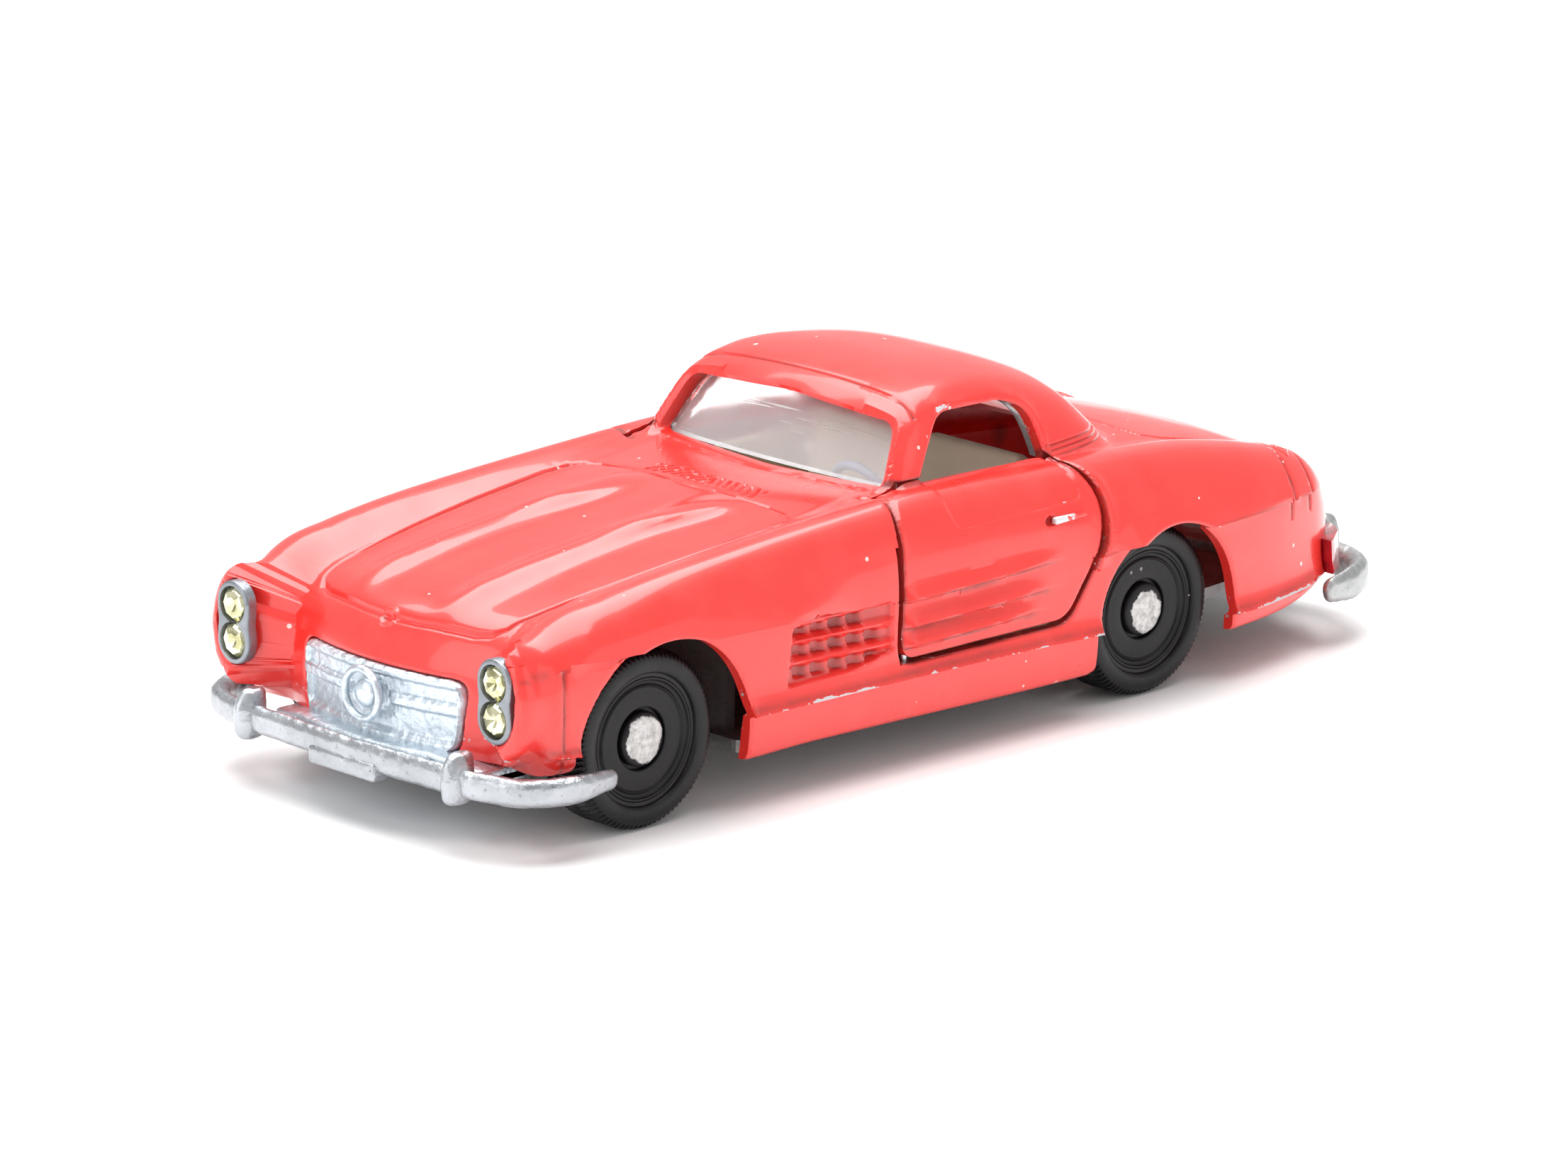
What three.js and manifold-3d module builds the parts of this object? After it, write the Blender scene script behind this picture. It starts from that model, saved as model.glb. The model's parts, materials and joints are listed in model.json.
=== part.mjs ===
// Diecast model of a two-seat sports roadster with its hard top fitted, 1:43.
// Millimetres. X runs from nose (-) to tail (+), Y to the car's right side (+), Z up from the
// ground. The origin is the middle of the outer box, on the ground.
import * as THREE from 'three';
import { mergeVertices } from 'three/addons/utils/BufferGeometryUtils.js';
import Module from 'manifold-3d';

const wasm = await Module();
wasm.setup();

// ---------------------------------------------------------------- driving dimensions
const WHEELBASE = 55.8;
const HALF_WIDTH = 20.5; // ground plan, centre line to body side
const AXLE_MID = -7.58; // the wheelbase sits forward of the middle of the car
const SHELL_WALL = 1.1;
const ROOF_TOP = 28.85;

const TYRE_RADIUS = 7.17;
const TYRE_WIDTH = 4.6;
const TYRE_FACE = 17.46; // centre line to a tyre's outer face
const RIM_RADIUS = 5.0; // outside of the hub, seat of the tyre
const HUB_DOME_RADIUS = 2.2;
const HUB_WELL_RADIUS = 2.5; // round well that the dome stands in
const HUB_DISC_SET = 0.66; // flat disc inside the tyre's face
const HUB_WELL_DEPTH = 0.55;
const HUB_BORE_SET = 1.3; // blind end of the axle bore inside the tyre's face
const AXLE_RADIUS = 0.75;
const AXLE_CLEARANCE = 0.12; // axle in its bearing
const ARCH_CLEARANCE_FRONT = 1.7;
const ARCH_CLEARANCE_REAR = 1.0;
const ARCH_DROP = 0.45; // arch centre below the axle

const PLATE_BOTTOM = 4.1;
const PLATE_THICKNESS = 1.0;
const PLATE_MARGIN = 0.5; // base plate inside the shell
const BEARING_INNER = 9.6;
const BEARING_OUTER = 11.2;

const DOOR_GAP = 0.5;
const DOOR_WALL = 1.25;
const HINGE_INSET = 1.0; // hinge line behind the door's front edge
const HINGE_DEPTH = 1.0; // hinge line inside the door skin
const HINGE_PIN_RADIUS = 0.35;
const HINGE_CLEARANCE = 0.08;
const KNUCKLE_RADIUS = 0.85;

const GLASS_GAP = 0.35; // clear moulding inside the shell
const GLASS_WALL = 0.7;
const FIT = 0.12; // small trim in its seat

const LAMP_SIDE = 15.3; // headlamp centre from the centre line
const LAMP_HEIGHT = 12.55;
const BEZEL_HALF_WIDTH = 2.1;
const BEZEL_HALF_HEIGHT = 3.4;
const BEZEL_DEPTH = 0.9;
const JEWEL_RADIUS = 1.3;
const JEWEL_SPACING = 2.93;
const JEWEL_DEPTH = 0.6;

const RIVET_RADIUS = 1.0;
const RIVET_HEAD_RADIUS = 1.9;
const RIVET_HEAD_HEIGHT = 0.6;
const POST_RADIUS = 2.1;

const FRONT_AXLE_X = AXLE_MID - WHEELBASE / 2;
const REAR_AXLE_X = AXLE_MID + WHEELBASE / 2;
const PLATE_TOP = PLATE_BOTTOM + PLATE_THICKNESS;

// ---------------------------------------------------------------- the form's own frame
// The body's curves are drawn for the reference wheelbase and width below. along() and across()
// carry a place on those curves to the model, and the two inverses carry it back.
const FORM = { front: -36.78, rear: 19.02, halfWidth: 20.5, shoulder: 12, roof: 28.85 };
const WIDEN = HALF_WIDTH - FORM.halfWidth;
const STRETCH = WHEELBASE / (FORM.rear - FORM.front);
const BELT = 20.5;
const lampY = LAMP_SIDE + WIDEN;

function along(x) {
  if (x < FORM.front) return FRONT_AXLE_X + x - FORM.front;
  if (x > FORM.rear) return REAR_AXLE_X + x - FORM.rear;
  return FRONT_AXLE_X + (x - FORM.front) * STRETCH;
}
function formX(x) {
  if (x < FRONT_AXLE_X) return x - FRONT_AXLE_X + FORM.front;
  if (x > REAR_AXLE_X) return x - REAR_AXLE_X + FORM.rear;
  return FORM.front + (x - FRONT_AXLE_X) / STRETCH;
}
function across(y) {
  const a = Math.abs(y);
  const wide = a < FORM.shoulder ? (a * (FORM.shoulder + WIDEN)) / FORM.shoulder : a + WIDEN;
  return Math.sign(y) * wide;
}
function formY(y) {
  const a = Math.abs(y);
  const edge = FORM.shoulder + WIDEN;
  return a < edge ? (a * FORM.shoulder) / edge : a - WIDEN;
}
// Heights above the belt line follow the roof height.
const RISE = (ROOF_TOP - BELT) / (FORM.roof - BELT);
const lift = (z) => (z > BELT ? BELT + (z - BELT) * RISE : z);
const formZ = (z) => (z > BELT ? BELT + (z - BELT) / RISE : z);

// ---------------------------------------------------------------- curves of the body
const clamp = (v, low, high) => Math.min(Math.max(v, low), high);
const ease = (a, b, x) => {
  const t = clamp((x - a) / (b - a), 0, 1);
  return t * t * (3 - 2 * t);
};
const smoothMax = (a, b, k) => {
  const h = clamp(0.5 + (0.5 * (a - b)) / k, 0, 1);
  return b + (a - b) * h + k * h * (1 - h);
};
const smoothMin = (a, b, k) => -smoothMax(-a, -b, k);

// A smooth curve through points, held level past its ends.
function curve(points) {
  const n = points.length;
  const slope = [];
  for (let i = 0; i < n - 1; i++) {
    slope.push((points[i + 1][1] - points[i][1]) / (points[i + 1][0] - points[i][0]));
  }
  const tangent = [slope[0]];
  for (let i = 1; i < n - 1; i++) tangent.push((slope[i] + slope[i - 1]) / 2);
  tangent.push(slope[n - 2]);
  return (at) => {
    const x = clamp(at, points[0][0], points[n - 1][0]);
    let i = 0;
    while (i < n - 2 && x > points[i + 1][0]) i++;
    const [x0, v0] = points[i];
    const [x1, v1] = points[i + 1];
    const h = x1 - x0;
    const t = (x - x0) / h;
    const u = 1 - t;
    return (
      (1 + 2 * t) * u * u * v0 + t * u * u * h * tangent[i] +
      t * t * (3 - 2 * t) * v1 - t * t * u * h * tangent[i + 1]
    );
  };
}

const sideLine = curve([[-52, 18], [-48, 19], [-42, 19.7], [-35, 20.1], [-20, 20.2], [-5, 20.4],
  [8, 20.5], [19, 20.5], [28, 20], [35, 18.9], [41, 17.2], [48, 14.6]]);
const crownHeight = curve([[-52, 15.6], [-49, 17], [-44, 18.2], [-36, 19.5], [-26, 20.4],
  [-14, 21.1], [-4, 21.5], [10, 20.9], [20, 20.4], [25, 19.9], [29, 19.2], [34, 18.1],
  [39, 16.7], [43, 14.9], [48, 11.5]]);
const crownLine = curve([[-52, 15], [-40, 15.4], [-20, 15.6], [0, 15.6], [12, 15.4], [24, 14.6],
  [34, 13.6], [48, 11.5]]);
const valleyHeight = curve([[-52, 13.4], [-49, 14.9], [-46.3, 16.1], [-40, 17.5], [-30, 18.9],
  [-16, 20.1], [-4, 20.7], [10, 20.3], [20, 19.8], [25, 19.3], [29, 18.6], [34, 17.6],
  [39, 16.2], [43, 14.4], [48, 11.3]]);
const spineHeight = curve([[-52, 13], [-50.4, 14.6], [-48.4, 16.2], [-46, 17.1], [-40, 18.3],
  [-30, 19.4], [-20, 20.1], [-12, 20.5], [-4, 20.8], [16, 20.8], [22, 20.6], [26, 20.1],
  [30, 19.35], [34, 18.4], [38, 17.2], [42, 15.4], [46, 12.8], [48, 11.2]]);
const frontFlareHeight = curve([[-52, 14.6], [-41, 15.1], [-30, 14.9], [-22, 14.6], [-14, 14.2]]);
const rearFlareHeight = curve([[11, 13.9], [30, 13.8], [42, 13.5]]);
const hemHeight = curve([[-52, 6.6], [-48, 7.2], [-44, 7.2], [-40, 5], [-30, 3.9], [-20, 3.9],
  [12, 3.5], [27, 4], [37, 4.3], [44, 5.6], [48, 6.5]]);
const sillHeight = curve([[-52, 7.9], [-28, 7.7], [12, 7.1], [28, 5.7], [40, 5.9], [48, 6.2]]);
const roofHeight = curve([[-7, 26], [-4.4, 27.6], [-2.2, 28.35], [1.5, 28.85], [5, 28.8],
  [9, 28.3], [12, 27.5], [15, 26.3], [18, 24.4], [21, 22.2], [24, 20.2]]);

const flareHeight = (x) => (x < 0 ? frontFlareHeight(x) : rearFlareHeight(x));
function flareReach(x) {
  const front = ease(-53, -46, x) * (1 - ease(-26, -15, x));
  const rear = ease(9.5, 15, x) * (1 - ease(34, 47, x));
  return 1.25 * (front + rear);
}
// How far the side lies inside the side line at a height.
function tuck(x, z) {
  const sill = sillHeight(x);
  let inset = 1 + 0.25 * ((sill - z) / 3) ** 2;
  if (z >= sill) {
    inset = 0.25 + 0.75 * (1 - Math.exp((sill - z) / 0.9));
    inset += 0.02 * Math.max(z - 13.5, 0) ** 2 + 0.05 * Math.max(z - 18, 0) ** 2;
  }
  const above = z - flareHeight(x);
  if (above < 0) return inset;
  const fade = 1 - Math.min(above / 4.5, 1);
  return inset - flareReach(x) * fade * fade * (3 - 2 * fade);
}
function upperSurface(x, y) {
  const crownY = crownLine(x);
  const crown = crownHeight(x);
  const valley = valleyHeight(x);
  const spine = spineHeight(x);
  const valleyY = x < 5 ? 11.6 - 0.3 * ease(-20, -46, x) : 11.4 - 0.8 * ease(25, 45, x);
  let height = spine + (valley - spine) * Math.min(y / valleyY, 1) ** 2.2;
  if (y >= valleyY) height = valley + (crown - valley) * ease(0, 1, (y - valleyY) / (crownY - valleyY));
  const out = y - crownY;
  if (out > 0) height = crown - 0.045 * out ** 2 - 0.02 * out ** 3;
  const bulge = Math.exp(-1.6 * ((y - 5.15) / 1.9) ** 2);
  return height + 0.75 * bulge * ease(-48.5, -42, x) * (1 - ease(-20, -15.5, x));
}
const noseLine = (y, z) =>
  -49.9 + 0.016 * Math.min(y, 12) ** 2 + 0.03 * Math.max(z - 9, 0) ** 2 + 0.03 * Math.max(7 - z, 0) ** 2;
const tailLine = (y, z) =>
  47.6 - 0.016 * y * y - 0.035 * Math.max(z - 9, 0) ** 2 - 0.03 * Math.max(7 - z, 0) ** 2;

function hardTop(x, y, z) {
  const up = Math.max(z - BELT, 0);
  const crown = roofHeight(x) - 0.0035 * y * y - (0.00002 + 0.000004 * clamp(x, 0, 20)) * y ** 4;
  const side = y - (14.9 - 0.33 * up - 0.004 * up * up - 0.028 * Math.max(x - 6, 0) ** 1.7);
  const screen = (-8.9 + 0.004 * y * y + (z - 20.1) * 0.62 - x) * 0.85;
  const back = (x - (22.6 - 0.012 * y * y - (z - 20.3) * 0.8)) * 0.78;
  return smoothMax(smoothMax(smoothMax(z - crown, side, 1.8), screen, 1), back, 2.6);
}
// Negative inside the body. level moves the surface in or out.
function bodyField(modelX, modelY, modelZ, level, closedBelow) {
  const x = formX(modelX);
  const y = formY(modelY);
  const z = formZ(modelZ);
  let field = smoothMax(y - sideLine(x) + tuck(x, z), (z - upperSurface(x, y)) * 0.93, 2.6);
  field = smoothMax(field, noseLine(y, z) - x, 2.6);
  field = smoothMax(field, x - tailLine(y, z), 3.4);
  field = smoothMin(field, hardTop(x, y, z), 0.9) - level;
  return closedBelow ? smoothMax(field, hemHeight(x) - z, 0.9) : Math.max(field, -4 - z);
}

// ---------------------------------------------------------------- solids
const MERGE = 1e-4;
function solid(geometry) {
  const bare = geometry.index ? geometry.toNonIndexed() : geometry.clone();
  bare.deleteAttribute('normal');
  bare.deleteAttribute('uv');
  const merged = mergeVertices(bare, MERGE);
  const index = merged.index.array;
  const kept = [];
  for (let i = 0; i < index.length; i += 3) {
    const [a, b, c] = [index[i], index[i + 1], index[i + 2]];
    if (a !== b && b !== c && c !== a) kept.push(a, b, c);
  }
  const mesh = new wasm.Mesh({
    numProp: 3,
    vertProperties: new Float32Array(merged.attributes.position.array),
    triVerts: new Uint32Array(kept),
  });
  return new wasm.Manifold(mesh);
}
const join = (...pieces) => pieces.reduce((whole, piece) => whole.add(piece));
const cut = (whole, ...tools) => tools.reduce((left, tool) => left.subtract(tool), whole);

function box(x0, x1, y0, y1, z0, z1) {
  const shape = new THREE.BoxGeometry(x1 - x0, y1 - y0, z1 - z0);
  return solid(shape.translate((x0 + x1) / 2, (y0 + y1) / 2, (z0 + z1) / 2));
}
const AXES = {
  x: new THREE.Matrix4().makeRotationZ(-Math.PI / 2),
  y: new THREE.Matrix4(),
  z: new THREE.Matrix4().makeRotationX(Math.PI / 2),
};
function rod(axis, radius, length, centre, sides = 24, endRadius = radius) {
  const shape = new THREE.CylinderGeometry(endRadius, radius, length, sides);
  return solid(shape.applyMatrix4(AXES[axis]).translate(...centre));
}
// An outline of [a, b] points whose corners are rounded to the radius given for all.
function outline(points, radius) {
  const shape = new THREE.Shape();
  const n = points.length;
  points.forEach(([a, b], i) => {
    const before = new THREE.Vector2(...points[(i + n - 1) % n]);
    const after = new THREE.Vector2(...points[(i + 1) % n]);
    const corner = new THREE.Vector2(a, b);
    const start = before.sub(corner);
    const end = after.sub(corner);
    const reach = Math.min(radius, start.length() / 2.1, end.length() / 2.1);
    start.setLength(reach).add(corner);
    end.setLength(reach).add(corner);
    if (i === 0) shape.moveTo(start.x, start.y);
    else shape.lineTo(start.x, start.y);
    shape.quadraticCurveTo(a, b, end.x, end.y);
  });
  shape.closePath();
  return shape;
}
function oval(halfWidth, halfHeight, centre) {
  const shape = new THREE.Shape();
  shape.absellipse(centre[0], centre[1], halfWidth, halfHeight, 0, 2 * Math.PI);
  return shape;
}
const extrude = (shape, depth, curveSegments) =>
  new THREE.ExtrudeGeometry(shape, { depth, bevelEnabled: false, curveSegments });
// Shapes drawn in side view [x, z], front view [y, z] and plan [x, y].
function sideShape(shape, y0, y1, curveSegments = 3) {
  return solid(extrude(shape, y1 - y0, curveSegments).rotateX(Math.PI / 2).translate(0, y1, 0));
}
const FRONT_VIEW = new THREE.Matrix4().makeBasis(
  new THREE.Vector3(0, 1, 0), new THREE.Vector3(0, 0, 1), new THREE.Vector3(1, 0, 0));
function frontShape(shape, x0, x1, curveSegments = 3) {
  return solid(extrude(shape, x1 - x0, curveSegments).applyMatrix4(FRONT_VIEW).translate(x0, 0, 0));
}
const planShape = (shape, z0, z1, curveSegments = 3) =>
  solid(extrude(shape, z1 - z0, curveSegments).translate(0, 0, z0));
const mirrorSide = (piece) => piece.mirror([0, 1, 0]);
const bothSides = (piece) => join(piece, mirrorSide(piece));

// The body surface as a closed grid: each of its points lies where a ray from the keel meets it.
const KEEL = { front: -37, rear: 33, height: 9.5 };
const REACH = 60;
function sectionAims(x) {
  const flare = flareHeight(x);
  const sill = sillHeight(x);
  const side = sideLine(x);
  const crown = crownHeight(x);
  const crownY = crownLine(x);
  return [[0, -30, 1], [side - 3, 3, 2], [side - 0.8, 4.2, 2], [side - 1, sill - 0.03, 1],
    [side - 0.2, sill + 0.03, 2], [side - 1, sill + 2.2, 2], [side - 0.8, flare - 0.03, 1],
    [side, flare + 0.03, 3], [side - 0.6, flare + 3, 2], [crownY + 1.5, crown - 0.6, 3],
    [crownY - 1, crown, 2], [11.6, crown - 0.6, 2], [9, crown - 0.6, 5], [0, crown, 1]];
}
function rayLength(origin, direction, level, closedBelow) {
  const field = (r) => bodyField(origin.x + direction.x * r, Math.abs(origin.y + direction.y * r),
    origin.z + direction.z * r, level, closedBelow);
  let high = 1;
  while (high < REACH && field(high) <= 0) high += 0.6;
  let low = high - 0.6;
  for (let i = 0; i < 22; i++) {
    const middle = (low + high) / 2;
    if (field(middle) <= 0) low = middle;
    else high = middle;
  }
  return low;
}
function bodySolid(level, closedBelow, middleSteps, fanSteps, density) {
  const stations = [];
  for (let i = 0; i < fanSteps; i++) stations.push([KEEL.front, (Math.PI / 2) * (1 - i / fanSteps), -1]);
  for (let i = 0; i <= middleSteps; i++) {
    stations.push([KEEL.front + ((KEEL.rear - KEEL.front) * i) / middleSteps, 0, 0]);
  }
  for (let i = 1; i <= fanSteps; i++) stations.push([KEEL.rear, ((Math.PI / 2) * i) / fanSteps, 1]);
  const rows = stations.map(([x, turn, end]) => {
    const aims = sectionAims(x + 8 * end * Math.sin(turn));
    const origin = new THREE.Vector3(along(x), 0, KEEL.height);
    const points = [];
    aims.forEach(([y, z, steps], k) => {
      const last = k === aims.length - 1;
      const next = last ? aims[k] : aims[k + 1];
      const count = last ? 1 : Math.max(1, Math.round(steps * density));
      for (let j = 0; j < count; j++) {
        const aimY = y + ((next[0] - y) * j) / count;
        const aimZ = lift(z + ((next[1] - z) * j) / count) - KEEL.height;
        const lean = Math.sin(turn) ** 2 * Math.max(aimZ, 0) * clamp(1 - aimY / 14, 0, 1);
        const direction = new THREE.Vector3(
          end * (aimY * Math.sin(turn) + lean), across(aimY * Math.cos(turn)), aimZ).normalize();
        const length = rayLength(origin, direction, level, closedBelow);
        points.push(origin.clone().addScaledVector(direction, length));
      }
    });
    return points;
  });
  const positions = [];
  const flatten = (point, centre, sign) => [point.x, centre ? 0 : sign * Math.abs(point.y), point.z];
  const lastStation = rows.length - 1;
  const lastRow = rows[0].length - 1;
  for (const sign of [1, -1]) {
    const corner = (i, j) =>
      flatten(rows[i][j], i === 0 || i === lastStation || j === 0 || j === lastRow, sign);
    for (let i = 0; i < lastStation; i++) {
      for (let j = 0; j < lastRow; j++) {
        const quad = [corner(i, j), corner(i + 1, j), corner(i + 1, j + 1), corner(i, j + 1)];
        if (sign > 0) quad.reverse();
        positions.push(...quad[0], ...quad[1], ...quad[2], ...quad[0], ...quad[2], ...quad[3]);
      }
    }
  }
  const geometry = new THREE.BufferGeometry();
  geometry.setAttribute('position', new THREE.BufferAttribute(new Float32Array(positions), 3));
  return solid(geometry);
}

// ---------------------------------------------------------------- hair-thin facets
// Cuts leave facets far thinner than any casting shows. Corners nearer than WELD become one, and
// a facet thinner than THIN hands its long edge to its neighbour.
const WELD = 0.004;
const THIN = 0.002;
const FLIP_ROUNDS = 8;
function welded(points, faces) {
  const target = points.map((_, i) => i);
  const root = (i) => (target[i] === i ? i : root(target[i]));
  for (const face of faces) {
    for (let k = 0; k < 3; k++) {
      const a = root(face[k]);
      const b = root(face[(k + 1) % 3]);
      if (a !== b && points[a].distanceTo(points[b]) < WELD) target[b] = a;
    }
  }
  const joined = faces.map((face) => face.map(root)).filter(([a, b, c]) => a !== b && b !== c && c !== a);
  const key = (face) => [...face].sort((a, b) => a - b).join();
  const count = new Map();
  for (const face of joined) count.set(key(face), (count.get(key(face)) ?? 0) + 1);
  return joined.filter((face) => count.get(key(face)) === 1);
}
function flipThinFaces(points, faces) {
  const owner = new Map();
  faces.forEach((face, f) => face.forEach((a, k) => owner.set(`${a},${face[(k + 1) % 3]}`, f)));
  const done = new Set();
  faces.forEach((face, f) => {
    const edges = face.map((a, k) => points[a].distanceTo(points[face[(k + 1) % 3]]));
    const long = edges.indexOf(Math.max(...edges));
    const [a, b, c] = [0, 1, 2].map((k) => face[(long + k) % 3]);
    const area = new THREE.Triangle(points[a], points[b], points[c]).getArea();
    const other = owner.get(`${b},${a}`);
    if ((2 * area) / edges[long] > THIN || done.has(f) || other === undefined || done.has(other)) return;
    const d = faces[other].find((v) => v !== a && v !== b);
    if (owner.has(`${c},${d}`) || owner.has(`${d},${c}`)) return;
    faces[f] = [a, d, c];
    faces[other] = [d, b, c];
    done.add(f).add(other);
  });
  return done.size;
}
function withoutSlivers(points, faces) {
  let kept = faces;
  for (let i = 0; i < FLIP_ROUNDS; i++) {
    kept = welded(points, kept);
    if (flipThinFaces(points, kept) === 0) break;
  }
  return kept;
}

// ---------------------------------------------------------------- openings and shared outlines
const place = (points) => points.map(([x, z]) => [along(x), lift(z)]);
const DOOR_FRONT = -11.6;
const doorOutline = (gap) => outline(place([
  [DOOR_FRONT + gap, 8.7 + gap], [7.6 - gap, 8.7 + gap], [11.2 - gap, 13.6], [12 - gap, 17.4],
  [11.6 - gap, 19.8], [9.8, 21.9], [-9.6, 21.9], [-10.9 + gap, 19.4]]), 1.6);
const windowOutline = outline(place([
  [-4.6, 18.5], [-4.6, 21.6], [-0.9, 26.35], [6.4, 26.2], [8.9, 25.1], [9.9, 21.2], [9.9, 18.5]]), 1.2);
const SIDE_INNER = 10.5;
const SIDE_OUTER = 26;
const DOOR_INNER = 14.4; // the door reaches in over the shoulder to here
const DOOR_SIDE_Y = 19.4; // door skin at the hinge
const HINGE_X = along(DOOR_FRONT + DOOR_GAP) + HINGE_INSET;
const HINGE_Y = across(DOOR_SIDE_Y) - HINGE_DEPTH;
const HINGE_BOTTOM = 5.6;
const HINGE_TOP = 16.4;

const screenOutline = outline([[across(-13.2), lift(21.1)], [0, lift(20.75)], [across(13.2), lift(21.1)],
  [across(11.7), lift(25.9)], [0, lift(26.5)], [across(-11.7), lift(25.9)]], 1.2);
const backlightOutline = outline([[across(-9.8), lift(20.95)], [across(9.8), lift(20.95)],
  [across(8.2), lift(24.5)], [across(-8.2), lift(24.5)]], 1.2);
const GRILLE = { halfTop: 9.7, halfBottom: 9.0, bottom: 6.3, top: 12.4, bulgeFront: -50.2, bulge: 1.6 };
const grilleOutline = (inset) => outline([
  [across(-GRILLE.halfBottom) + inset, GRILLE.bottom + inset],
  [across(GRILLE.halfBottom) - inset, GRILLE.bottom + inset],
  [across(GRILLE.halfTop) - inset, GRILLE.top - inset],
  [across(-GRILLE.halfTop) + inset, GRILLE.top - inset]], 1.6);

const ARCHES = [
  { x: FRONT_AXLE_X + 0.55, radius: TYRE_RADIUS + ARCH_CLEARANCE_FRONT },
  { x: REAR_AXLE_X + 0.35, radius: TYRE_RADIUS + ARCH_CLEARANCE_REAR },
];
const ARCH_INNER = TYRE_FACE + WIDEN - TYRE_WIDTH - 1.2;
const ARCH_Z = TYRE_RADIUS - ARCH_DROP;
function archCutter({ x, radius }) {
  const width = SIDE_OUTER + WIDEN - ARCH_INNER;
  const middle = ARCH_INNER + width / 2;
  const below = box(x - radius, x + radius, ARCH_INNER, ARCH_INNER + width, -2, ARCH_Z);
  return bothSides(join(rod('y', radius, width, [x, middle, ARCH_Z], 32), below));
}

// The lamp pods stand out of the front wings as rounded upright ovals.
const POD = { height: 12.05, halfWidth: 3.05, halfHeight: 4.95, front: -50.5, back: -44, round: 0.7 };
function lampPod() {
  const { halfWidth, halfHeight, round } = POD;
  const shape = new THREE.ExtrudeGeometry(
    oval(halfWidth - round, halfHeight - round, [0, 0]),
    { depth: POD.back - POD.front - 2 * round, curveSegments: 7, bevelSize: round,
      bevelThickness: round, bevelSegments: 2 });
  shape.applyMatrix4(FRONT_VIEW).translate(along(POD.front) + round, lampY, POD.height);
  return solid(shape);
}
const LAMP_FRONT = along(POD.front);
const LAMP_SEAT = LAMP_FRONT + 0.55; // bottom of the lamp recess
const TAIL_LAMP = { front: 41.3, back: 47.6, inner: 12.6, outer: 18.4, bottom: 6.1, top: 8.8 };

const POSTS = [along(-43.2), along(38.5)];
const postHeight = (x) => upperSurface(formX(x), 0) - SHELL_WALL / 2;

// ---------------------------------------------------------------- shell and doors
const outerSkin = join(bodySolid(0, true, 22, 7, 0.7), bothSides(lampPod()));
const INNER_GRID = [18, 5, 0.45];
const innerSkin = bodySolid(-SHELL_WALL, false, ...INNER_GRID);

const doorInner = bodySolid(-DOOR_WALL, false, ...INNER_GRID);

function tailLampBlock(gap) {
  const t = TAIL_LAMP;
  const plan = outline([[along(t.front) - gap, across(t.outer)], [along(t.front) - gap, across(15.4) - gap],
    [along(45.6), across(t.inner) - gap], [along(t.back + 2), across(t.inner) - gap],
    [along(t.back + 2), across(t.outer)]], 0.2);
  return planShape(plan, t.bottom - gap, t.top + gap);
}
function doorCutter() {
  return sideShape(doorOutline(0), DOOR_INNER - DOOR_GAP + WIDEN, SIDE_OUTER + WIDEN);
}
function windowCutter() {
  return sideShape(windowOutline, SIDE_INNER - 1 + WIDEN, SIDE_OUTER + WIDEN);
}
const hingePin = (radius, bottom, top) =>
  rod('z', radius, top - bottom, [HINGE_X, HINGE_Y, (top + bottom) / 2], 16);

function bodyShell() {
  const posts = POSTS.map((x) => {
    const top = postHeight(x);
    return rod('z', POST_RADIUS, top - PLATE_TOP, [x, 0, (top + PLATE_TOP) / 2], 16);
  });
  const bores = POSTS.map((x) => rod('z', RIVET_RADIUS + FIT, 6, [x, 0, PLATE_TOP + 2], 16));
  const lampRecess = frontShape(
    oval(BEZEL_HALF_WIDTH + FIT, BEZEL_HALF_HEIGHT + FIT, [lampY, LAMP_HEIGHT]),
    LAMP_FRONT - 3, LAMP_SEAT, 10);
  const shell = cut(
    outerSkin, innerSkin,
    ...ARCHES.map(archCutter),
    bothSides(doorCutter()), bothSides(windowCutter()),
    frontShape(screenOutline, along(-9.4), along(2)),
    frontShape(backlightOutline, along(13), along(26)),
    frontShape(grilleOutline(0), LAMP_FRONT - 3, along(-44)),
    bothSides(lampRecess), bothSides(tailLampBlock(FIT)),
    bothSides(hingePin(HINGE_PIN_RADIUS + HINGE_CLEARANCE, HINGE_BOTTOM - 0.1, HINGE_TOP)));
  return largest(cut(join(shell, ...posts), ...bores));
}
// A cut can free small crumbs: only the largest piece is kept.
function largest(piece) {
  return piece.decompose().reduce((a, b) => (b.volume() > a.volume() ? b : a));
}
function rightDoor() {
  const block = sideShape(doorOutline(DOOR_GAP), DOOR_INNER + WIDEN, SIDE_OUTER + WIDEN);
  const skin = cut(outerSkin.intersect(block), doorInner);
  const knuckle = hingePin(KNUCKLE_RADIUS, 9.6, HINGE_TOP).intersect(outerSkin);
  const handle = box(along(5.6), along(9.5), across(18.2), across(19.75), 17.05, 17.75);
  return largest(cut(join(skin, knuckle, handle),
    hingePin(HINGE_PIN_RADIUS + HINGE_CLEARANCE, HINGE_BOTTOM, HINGE_TOP - 0.8)));
}

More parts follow.
